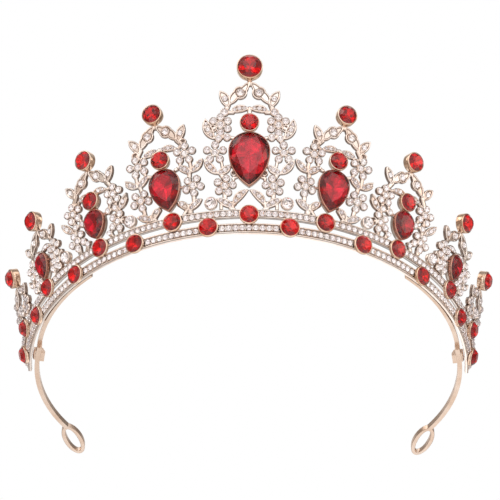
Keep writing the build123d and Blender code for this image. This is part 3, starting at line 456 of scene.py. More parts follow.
# ---- crest drawing, the same tables as the CAD model ---------------------------------------------
def crest_design(k):
    tf = FINIAL_T[k]
    leaves, flowers, stones, bars, drops = [], [], [], [], []
    if k == 0:
        drops.append(((0.2, tf - 4.9), (3.1, tf - 8.9), (6.9, tf - 13.2), 2.35))
        leaves += [((7.0, tf - 14.4), (9.9, tf - 8.2), 3.3, 0.35, 1),
                   ((0.05, tf - 14.9), (6.3, tf - 16.0), 2.7, 0.8, 3),
                   ((11.3, 30.8), (14.5, 38.3), 3.3, -0.75, 3),
                   ((5.8, 21.9), (10.5, 18.6), 2.7, -0.35, 3),
                   ((10.1, 18.5), (14.7, 23.9), 2.7, -0.4, 3),
                   ((0.05, 13.1), (5.0, 7.4), 2.7, 0.95, 3),
                   ((4.9, 6.7), (10.6, 9.9), 2.7, 0.3, 3)]
        flowers += [((9.5, 36.1), 2.75, 6, 30), ((11.2, 26.2), 2.75, 5, 90), ((7.9, 14.5), 2.6, 5, 100)]
        stones += [((8.2, 40.6), 1.05), ((7.3, 31.6), 0.9), ((10.1, 31.3), 0.9), ((5.0, 18.9), 0.7)]
        bars += [((0.0, tf - 5.8), (0.0, tf - 4.0), 1.6), ((6.9, tf - 13.0), (8.0, 40.6), 1.8),
                 ((5.4, 40.6), (8.0, 40.6), 1.3), ((8.8, 32.0), (11.0, 29.3), 1.4),
                 ((7.3, 31.8), (5.2, 31.4), 1.2), ((6.2, 21.3), (5.4, 22.0), 1.2),
                 ((9.2, 23.8), (8.6, 20.2), 1.1), ((9.4, 19.0), (8.0, 16.6), 1.6),
                 ((3.2, 17.9), (5.4, 17.0), 0.9), ((7.9, 11.8), (7.6, 8.2), 1.6),
                 ((5.0, 17.4), (5.2, 15.0), 1.0),
                 ((4.6, 8.3), (5.6, 7.4), 1.4), ((5.6, 5.0), (5.6, 8.2), 2.0),
                 ((9.0, 5.0), (9.0, 9.0), 1.2), ((3.4, 5.0), (5.4, 6.9), 1.0)]
    elif k == 1:
        drops.append(((0.2, tf - 3.7), (3.2, tf - 7.0), (6.4, tf - 11.0), 2.2))
        leaves += [((6.8, tf - 12.2), (9.9, tf - 6.3), 3.1, 0.35, 1),
                   ((0.05, tf - 13.3), (6.0, tf - 14.3), 2.4, 0.7, 3),
                   ((4.8, 23.0), (9.1, 19.2), 2.6, 0.5, 3),
                   ((9.1, 19.8), (14.0, 23.5), 2.6, -0.3, 3),
                   ((3.0, 10.9), (6.2, 6.9), 2.5, 0.4, 2),
                   ((6.2, 6.7), (11.4, 9.6), 2.6, 0.3, 3)]
        flowers += [((8.2, 27.0), 2.7, 5, 80), ((9.1, 15.0), 2.6, 5, 52)]
        stones += [((8.4, 31.3), 0.8)]
        bars += [((0.0, tf - 4.6), (0.0, tf - 3.2), 1.5), ((6.4, tf - 11.2), (8.2, 30.0), 1.8),
                 ((5.6, 29.2), (7.6, 30.0), 1.2), ((4.2, 22.2), (5.6, 22.6), 1.2),
                 ((6.4, 24.6), (5.8, 22.4), 1.2), ((9.4, 24.6), (9.4, 20.2), 1.3),
                 ((8.6, 19.6), (8.2, 17.2), 1.5), ((8.8, 12.6), (8.4, 8.0), 1.5),
                 ((5.2, 15.6), (6.8, 15.4), 0.9), ((5.6, 7.6), (7.0, 7.6), 1.3), ((6.6, 5.0), (6.6, 8.2), 2.0),
                 ((3.4, 10.0), (5.4, 7.8), 1.6), ((3.6, 5.0), (5.6, 7.2), 1.2)]
    elif k == 2:
        drops.append(((0.2, tf - 3.7), (3.2, tf - 6.9), (6.5, tf - 10.3), 2.1))
        leaves += [((7.0, tf - 11.2), (10.2, tf - 5.9), 3.0, 0.35, 1),
                   ((0.05, tf - 12.8), (6.3, tf - 13.2), 2.3, 0.65, 3),
                   ((9.6, 14.1), (14.3, 19.0), 2.7, -0.3, 3),
                   ((3.4, 8.6), (5.6, 6.9), 1.7, 0.25, 1)]
        flowers += [((8.7, 20.6), 2.55, 5, 85), ((8.7, 10.6), 2.55, 5, 60)]
        stones += [((5.6, 15.7), 0.85), ((8.6, 15.6), 0.85)]
        bars += [((0.0, tf - 4.6), (0.0, tf - 3.2), 1.5), ((6.6, tf - 10.6), (8.4, 23.2), 1.8),
                 ((6.0, 23.4), (8.2, 23.3), 1.2), ((4.0, 15.4), (5.8, 15.7), 1.2),
                 ((6.8, 18.6), (5.8, 15.6), 1.3), ((9.0, 18.2), (9.0, 13.2), 1.5),
                 ((5.7, 15.6), (8.7, 15.6), 1.1), ((4.6, 8.0), (6.8, 9.6), 1.3), ((8.6, 8.4), (8.6, 5.0), 1.8),
                 ((5.0, 7.4), (6.0, 5.0), 1.6)]
    elif k == 3:
        drops.append(((0.2, tf - 3.7), (3.0, tf - 6.8), (5.8, tf - 10.0), 1.85))
        leaves += [((6.2, tf - 10.9), (9.2, tf - 6.2), 2.9, 0.35, 1),
                   ((0.05, tf - 12.2), (5.6, tf - 12.6), 2.2, 0.6, 3),
                   ((8.4, 9.2), (11.4, 12.6), 2.2, -0.3, 2)]
        flowers += [((7.3, 15.0), 2.5, 5, 85), ((6.4, 8.9), 2.1, 5, 36)]
        bars += [((0.0, tf - 4.6), (0.0, tf - 3.2), 1.5), ((0.0, 16.4), (0.0, 18.2), 1.5),
                 ((6.0, tf - 10.4), (7.2, 17.4), 1.8),
                 ((5.3, 17.5), (7.2, 17.4), 1.2), ((2.5, 13.1), (5.2, 13.6), 1.1),
                 ((7.0, 12.8), (6.6, 10.6), 1.5), ((6.4, 7.4), (6.4, 5.0), 1.8)]
    else:
        drops.append(((0.2, tf - 3.7), (2.9, tf - 6.6), (5.2, tf - 9.6), 1.8))
        leaves += [((5.4, tf - 10.2), (8.0, tf - 6.4), 2.5, 0.35, 1)]
        flowers += [((5.3, 10.6), 2.3, 5, 85)]
        bars += [((0.0, tf - 4.6), (0.0, tf - 3.2), 1.5), ((5.2, tf - 10.0), (5.4, 12.6), 1.8),
                 ((2.1, 10.9), (3.4, 10.8), 1.0), ((5.2, 8.4), (5.2, 5.0), 1.8), ((2.6, 5.0), (4.6, 8.6), 1.0)]
    return leaves, flowers, stones, bars, drops


# ---- signed distances on the crest plane ----------------------------------------------------------
def sd_disc(X, Y, c, r):
    return np.hypot(X - c[0], Y - c[1]) - r


def sd_bar(X, Y, a, b, w):
    ax, ay = a
    dx, dy = b[0] - ax, b[1] - ay
    l2 = dx * dx + dy * dy
    u = np.clip(((X - ax) * dx + (Y - ay) * dy) / l2, 0, 1)
    return np.hypot(X - ax - u * dx, Y - ay - u * dy) - w / 2


def sd_arc_side(X, Y, a, b, h):
    """Negative on the right of the arc from a to b that passes h to the left of the chord's middle."""
    ax, ay = a
    bx, by = b
    d = math.hypot(bx - ax, by - ay)
    ux, uy = (bx - ax) / d, (by - ay) / d
    nx, ny = -uy, ux
    if abs(h) < 1e-6:
        return (X - ax) * nx + (Y - ay) * ny
    R = (d * d / 4 + h * h) / (2 * abs(h))
    sg = 1.0 if h > 0 else -1.0
    off = h - sg * R
    cx, cy = (ax + bx) / 2 + nx * off, (ay + by) / 2 + ny * off
    return sg * (np.hypot(X - cx, Y - cy) - R)


def sd_leaf(X, Y, a, b, w, bend):
    return np.maximum(sd_arc_side(X, Y, a, b, bend + w / 2), -sd_arc_side(X, Y, a, b, bend - w / 2))


def sd_pear(X, Y, cy, w, length, grow):
    r = w / 2 + grow
    low = length - w / 2 + grow * 1.5
    ra = (r * r + low * low) / (2 * r)
    y = Y - cy
    up = np.hypot(X, y) - r
    dn = np.hypot(np.abs(X) - (r - ra), y) - ra
    return np.where(y >= 0, up, dn)


def along(a, b, bend, f):
    x = a[0] + (b[0] - a[0]) * f
    y = a[1] + (b[1] - a[1]) * f
    d = math.hypot(b[0] - a[0], b[1] - a[1])
    k = bend * 4 * f * (1 - f)
    return (x - (b[1] - a[1]) / d * k, y + (b[0] - a[0]) / d * k)


def inside(poly, x, y):
    hit = False
    for (x0, y0), (x1, y1) in zip(poly, poly[1:] + poly[:1]):
        if (y0 > y) != (y1 > y) and x < (x1 - x0) * (y - y0) / (y1 - y0) + x0:
            hit = not hit
    return hit


def hump(depth, width):
    """0 at either side of a round wire of that width, 1 over its middle; depth is the distance in from its edge."""
    q = np.clip((depth - width / 2) / (width / 2), -1, 1)
    return np.sqrt(np.maximum(0.0, 1 - q * q))


def pear_poly(w, length, grow, n):
    """The same samples as the CAD model uses to keep stones clear of a pear bezel."""
    r = w / 2 + grow
    low = length - w / 2 + grow * 1.5
    ra = (r * r + low * low) / (2 * r)
    span = math.asin(low / ra)
    half = n // 2
    pts = [(r * math.cos(math.pi * i / half), r * math.sin(math.pi * i / half)) for i in range(half + 1)]
    m = n // 2
    left = [(-(r - ra) - ra * math.cos(span * i / (m // 2)), -ra * math.sin(span * i / (m // 2)))
            for i in range(1, m // 2 + 1)]
    return pts + left + [(-x, y) for x, y in left[:-1]][::-1]


class Crest:
    """Everything one crest casting is drawn from, in its own plane: x across, y up, s outward."""

    def __init__(self, k):
        self.k = k
        self.place, self.straight = crest_place(k)
        leaves, flowers, stones, bars, drops = crest_design(k)
        self.leaves, self.drops, self.petals, self.bars, self.beads = [], [], [], [], []
        seats = []
        for sgn in (1, -1):
            def m(p):
                return (sgn * p[0], p[1] - T0)
            for a, b, w, bend, n in leaves:
                a2, b2, bd = m(a), m(b), bend * sgn
                self.leaves.append((a2, b2, w, bd))
                for f in {1: [0.5], 2: [0.36, 0.64], 3: [0.24, 0.5, 0.76]}[n]:
                    r = 0.88 if n == 1 else (LEAF_R if f == 0.5 or n == 2 else LEAF_R * 0.8)
                    seats.append((along(a2, b2, bd, f), r, "leaf"))
            for tip, mid, tail, w in drops:
                tip, mid, tail = m(tip), m(mid), m(tail)
                up = (mid[0] + 0.5 * (mid[0] - tip[0]), mid[1] + 0.5 * (mid[1] - tip[1]))
                self.drops.append((tip, up, mid, tail, w))
                seats.append((mid, 1.12, "drop"))
            for c, r, n, a0 in flowers:
                cc = m(c)
                seats.append((cc, PETAL_R * 0.9, "heart"))
                self.petals.append((cc, 0.8, 0.5))
                for i in range(n):
                    ang = math.radians(a0 + 360 / n * i)
                    p = m((c[0] + r * math.cos(ang), c[1] + r * math.sin(ang)))
                    self.petals.append((p, PETAL_R, PETAL_RIM))
                    self.bars.append((cc, p, 1.3))
                    seats.append((p, PETAL_R, "petal"))
                    mid_a = ang + math.pi / n
                    for rr, br in ((r * 0.56, 0.27), (r * 1.12, 0.25)):
                        self.beads.append((m((c[0] + rr * math.cos(mid_a), c[1] + rr * math.sin(mid_a))), br))
            for c, r in stones:
                self.petals.append((m(c), r, 0.42))
                seats.append((m(c), r, "stone"))
            for a, b, w in bars:
                if a[0] == 0 and b[0] == 0 and sgn < 0:
                    continue
                self.bars.append((m(a), m(b), w))
        if SMALL_T[k]:
            top = SMALL_T[k] - T0
            self.bars.append(((0, top - 2.0), (0, PEAR_T[k] - T0 + PEAR_W[k] / 2 - 0.8), 2.2))
            self.bars.append(((0, top + 2.3), (0, NECK_T[k] - T0), 1.6))
        self.fin_r = FINIAL_R0 if k == 0 else FINIAL_R
        self.lo = 0.0 if k == 0 else PARTING[k - 1]
        self.hi = 97.0 if k == 4 else PARTING[k]
        if k == 0:
            self.lo = -self.hi
        self.spacers = []
        for a, t in SPACERS:
            for sgn in (1, -1):
                p = self.place.local(point(sgn * a, t, -2.2))
                if abs(p[0]) < 20 and abs(p[2] + 2.2) < 4:
                    self.spacers.append((sgn * a, t, p))
        self.kept = self.keep(seats)

    def keep(self, seats):
        k = self.k
        away = [(0.0, FINIAL_T[k] - T0, self.fin_r + CUP_WALL)]
        if SMALL_T[k]:
            away.append((0.0, SMALL_T[k] - T0, ROUND_R + SMALL_WALL))
        if k == 4:
            away.append((0.0, END_SPACER_T - T0, SPACER_R + CUP_WALL))
        for a, t, p in self.spacers:
            away.append((p[0], p[1], SPACER_R + CUP_WALL + 0.05))
        away.append((-CREST_SHIFT[k], UPPER_CUP_T - T0, ROUND_R + CUP_WALL))
        pear = None
        if PEAR_T[k]:
            pear = [(x, y + PEAR_T[k] - T0) for x, y in pear_poly(PEAR_W[k], PEAR_L[k], 0.42, 48)]
        kept = []
        for (x, y), r, kind in seats:
            ring = [(x + (r + 0.1) * math.cos(math.radians(a)), y + (r + 0.1) * math.sin(math.radians(a)))
                    for a in range(0, 360, 30)]
            if any(math.hypot(x - cx, y - cy) < r + cr + 0.08 for cx, cy, cr in away):
                continue
            if any(math.hypot(x - q[0][0], y - q[0][1]) < r + q[1] + 0.1 for q in kept):
                continue
            if pear and any(inside(pear, *q) for q in ring):
                continue
            if y + T0 - r < 6.0:
                continue
            w = self.place.world((x, y, -2.0))[0]
            ang = math.degrees(math.atan2(w[0], Y_CENTRE - w[1]))
            edge = math.degrees((r + 0.15) / math.hypot(w[0], Y_CENTRE - w[1]))
            if ang - edge < self.lo or ang + edge > self.hi:
                continue
            kept.append(((x, y), r, kind))
        return kept

    def outline(self, X, Y):
        k = self.k
        D = np.full(X.shape, 9.0)
        for a, b, w, bd in self.leaves:
            D = np.minimum(D, sd_leaf(X, Y, a, b, w, bd))
        for d in self.drops:
            D = np.minimum(D, self.sd_drop(X, Y, d))
        for c, r, rim in self.petals:
            D = np.minimum(D, sd_disc(X, Y, c, r + rim))
        for a, b, w in self.bars:
            D = np.minimum(D, sd_bar(X, Y, a, b, w))
        if PEAR_T[k]:
            cy = PEAR_T[k] - T0
            D = np.minimum(D, np.maximum(sd_pear(X, Y, cy, PEAR_W[k], PEAR_L[k], 0.1),
                                         -sd_pear(X, Y, cy, PEAR_W[k], PEAR_L[k], -1.5)))
        if SMALL_T[k]:
            q = sd_disc(X, Y, (0, SMALL_T[k] - T0), 0.0)
            D = np.minimum(D, np.maximum(q - 2.9, 1.5 - q))
        return D

    def trim(self, X, Y):
        k = self.k
        D = -sd_disc(X, Y, (0, FINIAL_T[k] - T0), self.fin_r + CUP_WALL + 0.02)
        if k == 4:
            D = np.maximum(D, -sd_disc(X, Y, (0, END_SPACER_T - T0), SPACER_R + CUP_WALL + 0.02))
        P = self.place.world(np.stack([X.ravel(), Y.ravel(), np.full(X.size, -2.2)], -1))
        for a, t, p in self.spacers:
            q = panel_place(a, t).local(P)
            D = np.maximum(D, (SPACER_R + CUP_WALL + 0.06 - np.hypot(q[:, 0], q[:, 1])).reshape(X.shape))
        up = self.straight.local(P)[:, 1].reshape(X.shape)
        D = np.maximum(D, UPPER_RAIL_T[1] + 0.03 - T0 - up)
        ang = np.degrees(np.arctan2(P[:, 0], Y_CENTRE - P[:, 1])).reshape(X.shape)
        rad = np.hypot(P[:, 0], Y_CENTRE - P[:, 1]).reshape(X.shape)
        D = np.maximum(D, np.radians(self.lo + GAP - ang) * rad)
        D = np.maximum(D, np.radians(ang - self.hi + GAP) * rad)
        return D

    def sd_drop(self, X, Y, d):
        tip, up, mid, tail, w = d
        q = sd_disc(X, Y, mid, w)
        q = np.minimum(q, sd_leaf(X, Y, tip, up, 2.7, 0.3))
        return np.minimum(q, sd_leaf(X, Y, (mid[0] - 0.7, mid[1] + 1.3), tail, 3.0, 0.25))

    def height(self, X, Y):
        """Front surface, and how much painted shade darkens each point."""
        H = np.full(X.shape, -2.0)
        C = np.zeros(X.shape)
        rim_top, rim_side = -1.42, -1.86
        for a, b, w in self.bars:
            d = -sd_bar(X, Y, a, b, w)
            H = np.where(d > -0.02, np.maximum(H, -1.98 + 0.36 * hump(d, w)), H)
        for a, b, w, bd in self.leaves:
            d = -sd_leaf(X, Y, a, b, w, bd)
            r = min(0.56, w * 0.22)
            h = np.where(d < r, rim_side + (rim_top - rim_side) * hump(d, r), -1.86)
            H = np.where(d > -0.02, np.where(d > r, h, np.maximum(H, h)), H)
            # painted shade: dark strip at the foot of each rim, light shade over the floor inside
            C = np.where(d > r, np.where(d < r + 0.16, 1.0, 0.18), C)
        for dr in self.drops:
            d = -self.sd_drop(X, Y, dr)
            h = np.where(d < 0.56, rim_side + (rim_top - rim_side) * hump(d, 0.56), -1.88)
            H = np.where(d > -0.02, np.where(d > 0.56, h, np.maximum(H, h)), H)
            C = np.where(d > 0.56, np.where(d < 0.74, 1.0, 0.12), C)
        if self.k < 4 and PEAR_T[self.k]:
            d = -np.maximum(sd_pear(X, Y, PEAR_T[self.k] - T0, PEAR_W[self.k], PEAR_L[self.k], 0.12),
                            -sd_pear(X, Y, PEAR_T[self.k] - T0, PEAR_W[self.k], PEAR_L[self.k], -1.5))
            H = np.where(d > 0, np.minimum(np.maximum(H, -1.62), -1.56), H)
        if SMALL_T[self.k]:
            q = sd_disc(X, Y, (0, SMALL_T[self.k] - T0), 0.0)
            H = np.where(q < 3.3, np.minimum(np.maximum(H, -1.62), -1.56), H)
        for c, r, rim in self.petals:
            q = sd_disc(X, Y, c, 0.0)
            h = rim_side + (-1.36 - rim_side) * hump(r + rim - q, rim + 0.08)
            ok = (q < r + rim + 0.02) & (q > r - 0.1)
            C = np.where(ok & (h > H), 0.0, C)
            H = np.where(ok, np.maximum(H, h), H)
        for (x, y), r, kind in self.kept:
            q = np.hypot(X - x, Y - y)
            if kind in ("leaf", "drop"):
                wd = 0.3 if kind == "drop" else 0.2
                h = -1.86 + (0.46 if kind == "drop" else 0.34) * hump(r + wd + 0.02 - q, wd + 0.1)
                ok = (q < r + wd + 0.02) & (q > r - 0.1)
                C = np.where(ok & (h > H), 0.0, C)
                if kind == "drop":
                    C = np.where((q > r + wd + 0.02) & (q < r + wd + 0.2), 0.9, C)
                H = np.where(ok, np.maximum(H, h), H)
        # painted shade: the lower the surface, the darker; the stone seats below are shaded too
        C = np.maximum(C, np.clip((-1.62 - H) / 0.2, 0, 1) * (C == 0) * 0.9)
        for (x, y), r, kind in self.kept:
            q = np.hypot(X - x, Y - y)
            H = np.where(q < r - 0.02, -2.17, H)
            C = np.where(q < r + 0.03, 0.8, C)
        for (x, y), br in self.beads:
            if any(math.hypot(x - c[0], y - c[1]) < r + 0.02 for c, r, kind in self.kept):
                continue
            q = np.hypot(X - x, Y - y)
            C = np.where(q < br, 0.0, C)
            H = np.where(q < br, np.maximum(H, -1.62 + 0.5 * np.sqrt(np.maximum(0, 1 - (q / br) ** 2))), H)
        return H, C

    def rear(self, X, Y, D):
        H = np.full(X.shape, S_BACK)
        edge = np.clip(-D, 0, 0.25)
        H = H + 0.25 - np.sqrt(np.maximum(0, 0.0625 - (0.25 - edge) ** 2))
        for (x, y), r, kind in self.kept:
            q = np.hypot(X - x, Y - y)
            u = np.clip((r * 0.78 - q) / 0.12, 0, 1)
            H = np.maximum(H, S_BACK + 0.34 * u * u * (3 - 2 * u))
        # painted shade on the back: darker over the rounded edges and the bumps behind the stones
        return H, np.clip((H - S_BACK) / 0.3, 0, 1)


def largest(mask):
    """The biggest 4-connected part of a mask."""
    left, best = mask.copy(), None
    while left.any():
        seed = np.zeros_like(mask)
        i = np.argmax(left)
        seed.flat[i] = True
        while True:
            g = seed.copy()
            g[1:] |= seed[:-1]
            g[:-1] |= seed[1:]
            g[:, 1:] |= seed[:, :-1]
            g[:, :-1] |= seed[:, 1:]
            g &= left
            if (g == seed).all():
                break
            seed = g
        if best is None or seed.sum() > best.sum():
            best = seed
        left &= ~seed
        if best.sum() > left.sum():
            break
    return best


def casting(crest, step):
    """One closed mesh of a crest: embossed front, relieved back, and the cut edges between them."""
    k = crest.k
    wide = {0: 17.2, 1: 16.0, 2: 16.6, 3: 14.0, 4: 11.0}[k]
    xs = np.arange(-wide, wide + step, step) + step * 0.137
    ys = np.arange(0.6, FINIAL_T[k] - T0 + 1.0, step)
    X, Y = np.meshgrid(xs, ys, indexing="ij")
    D = np.maximum(crest.outline(X, Y), crest.trim(X, Y))
    D = np.where(np.abs(D) < 0.02 * step, -0.02 * step, D)
    ins = largest(D < 0)
    D = np.where((D < 0) & ~ins, 0.3 * step, D)
    ni, nj = D.shape
    ids = -np.ones(D.shape, int)
    ids[ins] = np.arange(ins.sum())
    px, py = [X[ins]], [Y[ins]]
    base = int(ins.sum())
    edge_id, ex, ey = {}, [], []

    def cross(i0, j0, i1, j1):
        key = (i0, j0, i1, j1) if (i0, j0) < (i1, j1) else (i1, j1, i0, j0)
        if key not in edge_id:
            a, b = D[key[0], key[1]], D[key[2], key[3]]
            u = min(0.97, max(0.03, a / (a - b)))
            edge_id[key] = base + len(ex)
            ex.append(X[key[0], key[1]] * (1 - u) + X[key[2], key[3]] * u)
            ey.append(Y[key[0], key[1]] * (1 - u) + Y[key[2], key[3]] * u)
        return edge_id[key]

    full = ins[:-1, :-1] & ins[1:, :-1] & ins[1:, 1:] & ins[:-1, 1:]
    some = (ins[:-1, :-1] | ins[1:, :-1] | ins[1:, 1:] | ins[:-1, 1:]) & ~full
    fi, fj = np.nonzero(full)
    quads = np.stack([ids[fi, fj], ids[fi + 1, fj], ids[fi + 1, fj + 1], ids[fi, fj + 1]], -1).tolist()
    polys, rims = [], []
    for i, j in zip(*np.nonzero(some)):
        ring = [(i, j), (i + 1, j), (i + 1, j + 1), (i, j + 1)]
        poly, kinds = [], []
        for a in range(4):
            p, q = ring[a], ring[(a + 1) % 4]
            if ins[p]:
                poly.append(ids[p])
                kinds.append(0)
            if ins[p] != ins[q]:
                poly.append(cross(*p, *q))
                kinds.append(1)
        polys.append(poly)
        for a in range(len(poly)):
            b = (a + 1) % len(poly)
            if kinds[a] and kinds[b] and not (kinds[a - 1] and len(poly) == 2):
                rims.append((poly[a], poly[b]))
    px = np.concatenate(px + [np.array(ex)])
    py = np.concatenate(py + [np.array(ey)])
    Dv = np.concatenate([D[ins], np.zeros(len(ex))])
    hf, front_shade = crest.height(px, py)
    hb, back_shade = crest.rear(px, py, Dv)
    n = len(px)
    front = np.stack([px, py, hf], -1)
    back = np.stack([px, py, hb], -1)
    shape = Shape()
    faces = quads + polys
    faces = faces + [[q + n for q in f][::-1] for f in quads + polys]
    faces += [[b, a, a + n, b + n] for a, b in rims]
    shape.add(crest.place.world(np.concatenate([front, back])), faces, 0, np.concatenate([front_shade, back_shade * 0.8]))
    return shape


# ---- rails: an embossed strip wrapped round the ring ------------------------------------------------
def pave_row(t, half_angle, blocked, pitch=2.0, r=PAVE_R):
    radius = RING_R + t * SP + S_FLOOR * CP
    stops = [(-half_angle, 0.35)] + sorted(blocked) + [(half_angle, 0.35)]
    out = []
    for (a0, c0), (a1, c1) in zip(stops, stops[1:]):
        lo = a0 + math.degrees((c0 + r + 0.12) / radius)
        hi = a1 - math.degrees((c1 + r + 0.12) / radius)
        if hi < lo:
            continue
        n = int((hi - lo) / math.degrees(pitch / radius)) + 1
        step = (hi - lo) / (n - 1) if n > 1 else 0.0
        out += [lo + i * step for i in range(n)] if n > 1 else [(lo + hi) / 2]
    return out


def rail_shape(t_back, t_front, t_high, half, angles, row_t):
    """Channel rail: rolled edges, seats and setting beads round every rhinestone."""
    radius = RING_R + row_t * SP + S_FLOOR * CP
    cols = int(2 * math.radians(half) * radius / 0.16)
    th = np.linspace(-half, half, cols + 1)
    span = t_high - t_front
    ts = t_front + span * np.concatenate([[0.0, 0.012, 0.03], np.linspace(0.05, 0.95, 25), [0.97, 0.988, 1.0]])
    TH, TT = np.meshgrid(th, ts, indexing="ij")
    d = np.minimum(TT - t_front, t_high - TT)
    H = np.where(d < RAIL_WALL, -1.55 + (S_WALL + 1.55) * hump(d, RAIL_WALL), S_FLOOR + 0.06)
    U = np.radians(TH) * radius
    near = np.full(TH.shape, 99.0)
    for a in angles:
        u0 = math.radians(a) * radius
        sel = np.abs(U - u0) < 1.6
        q = np.hypot(U[sel] - u0, TT[sel] - row_t)
        h = H[sel]
        h = np.where((q > PAVE_R - 0.06) & (q < PAVE_R + 0.2), np.maximum(h, -1.72 + 0.24 * hump(PAVE_R + 0.2 - q, 0.26)), h)
        h = np.where(q < PAVE_R - 0.02, S_FLOOR, h)
        H[sel] = h
    pitch = math.degrees(2.5 / radius)
    half_pitch = math.degrees(1.0 / radius)
    spots = []
    for a, b in zip([None] + angles, angles + [None]):
        if a is not None and b is not None and b - a < pitch:
            spots.append((a + b) / 2)
        else:
            spots += [q for q in ((None if a is None else a + half_pitch), (None if b is None else b - half_pitch)) if q is not None]
    for a in spots:
        if abs(a) > half - 0.3:
            continue
        u0 = math.radians(a) * radius
        for dt in (-0.66, 0.66):
            sel = np.abs(U - u0) < 0.4
            q = np.hypot(U[sel] - u0, TT[sel] - row_t - dt)
            H[sel] = np.where(q < 0.3, np.maximum(H[sel], -1.66 + 0.5 * np.sqrt(np.maximum(0, 1 - (q / 0.3) ** 2))), H[sel])
    # painted shade: darker in the deep floor, at the foot of the walls and along the outer edges
    cav = np.clip((-1.5 - H) / 0.5, 0, 1) * 0.5
    cav = np.where((d > RAIL_WALL - 0.02) & (d < RAIL_WALL + 0.12), 0.85, cav)
    cav = np.where(d < 0.09, 0.9, cav)
    A = np.radians(TH)
    R = RING_R + TT * SP + H * CP
    Z = TT * CP - H * SP + Z_BASE
    # the edge rows keep the casting's flat underside
    if t_back != t_front:
        Z = np.where((TT - t_front < 1e-9), np.maximum(Z, LOWER_RAIL_Z), Z)
    front = np.stack([R * np.sin(A), Y_CENTRE - R * np.cos(A), Z], -1)
    nj = len(ts)

    def row(t, s):
        r, z = rz(t, s)
        a = np.radians(th)
        return np.stack([r * np.sin(a), Y_CENTRE - r * np.cos(a), np.full(len(a), z)], -1)
    low, high = (t_back, t_high)
    mid_t, mid_s = (t_back + t_front) / 2, -2.5
    rims = [row(t_high, -1.9), row(high, -2.75), row(high - 0.15, S_BACK), row((low + high) / 2, S_BACK)]
    if t_back != t_front:
        rims += [row(t_at_z(LOWER_RAIL_Z + 1.16, S_BACK), S_BACK), row(t_at_z(LOWER_RAIL_Z + 0.08, RAIL_FOOT - 0.02), RAIL_FOOT - 0.02),
                 row(t_at_z(LOWER_RAIL_Z, RAIL_FOOT + 0.06), RAIL_FOOT + 0.06), row(t_at_z(LOWER_RAIL_Z, -1.8), -1.8)]
    else:
        rims += [row(low + 0.15, S_BACK), row(low, -2.75), row(low, -1.9)]
    cols_n = len(th)
    allp = np.concatenate([front] + [r[:, None, :] for r in rims], 1)
    m = allp.shape[1]
    idx = np.arange(cols_n * m).reshape(cols_n, m)
    nxt = np.roll(idx, -1, 1)
    quads = np.stack([idx[:-1], idx[1:], nxt[1:], nxt[:-1]], -1).reshape(-1, 4)
    c = np.zeros((cols_n, m))
    c[:, :nj] = cav
    shape = Shape()
    shape.add(allp.reshape(-1, 3), quads, 0, c.ravel())
    ends = [list(idx[0]), list(idx[-1])[::-1]]
    shape.f += [tuple(int(q) for q in e) for e in ends]
    shape.m += [0, 0]
    return shape


# ---- build everything ---------------------------------------------------------------------------------
golden = 2.399963
STEP = 0.13

lower_angles = [-a for a in LOWER_ANGLES[::-1]] + LOWER_ANGLES
upper_angles = [-a for a in UPPER_ANGLES[:0:-1]] + UPPER_ANGLES
low_front = t_at_z(LOWER_RAIL_Z, S_WALL)
low_back = t_at_z(LOWER_RAIL_Z, S_BACK)
low_t = (low_front + LOWER_RAIL_TOP) / 2
up_t = (UPPER_RAIL_T[0] + UPPER_RAIL_T[1]) / 2
cup_r = ROUND_R + CUP_WALL


def chord(cup_t, row_t, r):
    d = abs(cup_t - row_t)
    return math.sqrt(max(0.0, (cup_r + r) ** 2 - d * d)) - r


low_block = [(a, chord(LOWER_CUP_T, low_t, PAVE_R)) for a in lower_angles]
low_block += [(a, chord(UPPER_CUP_T, low_t, PAVE_R)) for a in upper_angles
              if abs(UPPER_CUP_T - low_t) < cup_r + PAVE_R + 0.1]
up_block = [(a, chord(UPPER_CUP_T, up_t, PAVE_R)) for a in upper_angles]
up_block += [(a, chord(LOWER_CUP_T, up_t, PAVE_R)) for a in lower_angles
             if abs(LOWER_CUP_T - up_t) < cup_r + PAVE_R + 0.1]
low_row = pave_row(low_t, LOWER_RAIL_END, [b for b in low_block if b[1] > 0])
up_row = pave_row(up_t, UPPER_RAIL_END, [b for b in up_block if b[1] > 0])

piece("lower_rail_casting", rail_shape(low_back, low_front, LOWER_RAIL_TOP, LOWER_RAIL_END, low_row, low_t),
      [rail_metal], ["lower_rail"], 50)
piece("upper_rail_casting", rail_shape(UPPER_RAIL_T[0], UPPER_RAIL_T[0], UPPER_RAIL_T[1], UPPER_RAIL_END, up_row, up_t),
      [rail_metal], ["upper_rail"], 50)
for name, row, t in (("lower_rail_rhinestones", low_row, low_t), ("upper_rail_rhinestones", up_row, up_t)):
    s = Shape()
    for i, a in enumerate(row):
        small_stone(s, panel_place(a, t, S_FLOOR + 0.02), PAVE_R, i * golden)
    piece(name.replace("rhinestones", "stones"), s, [clear_glass, clear_foil], [name], smooth=False)


def round_set(places, r, back, rim, crown, wall, floor, deep, table=0.56):
    cups, gems = Shape(), Shape()
    for i, p in enumerate(places):
        cup(cups, p, round_line(r), back, rim, wall, floor)
        depth = min((rim - 0.02) - (back + floor) - 0.04, deep)
        put_gem(gems, p, round_ring(r, 8, i * golden), (0, 0), table, crown, 0.14, depth, rim - 0.02)
    return cups, gems


def both(places):
    out = []
    for p in places:
        f = np.array([-1.0, 1.0, 1.0])
        out += [p, Place(p.o * f, -p.x * f, p.y * f, p.z * f)]
    return out


for where, t, angles in (("lower_rail", LOWER_CUP_T, lower_angles), ("upper_rail", UPPER_CUP_T, upper_angles)):
    c, g = round_set([panel_place(a, t) for a in angles], ROUND_R, S_WALL + 0.03, -0.1, 1.35, CUP_WALL, 0.25, 1.5)
    piece(where + "_bezels", c, [cup_metal], [where + "_cups"], 50)
    piece(where + "_red_stones", g, [red_glass, red_foil], [where + "_crystals"], smooth=False)

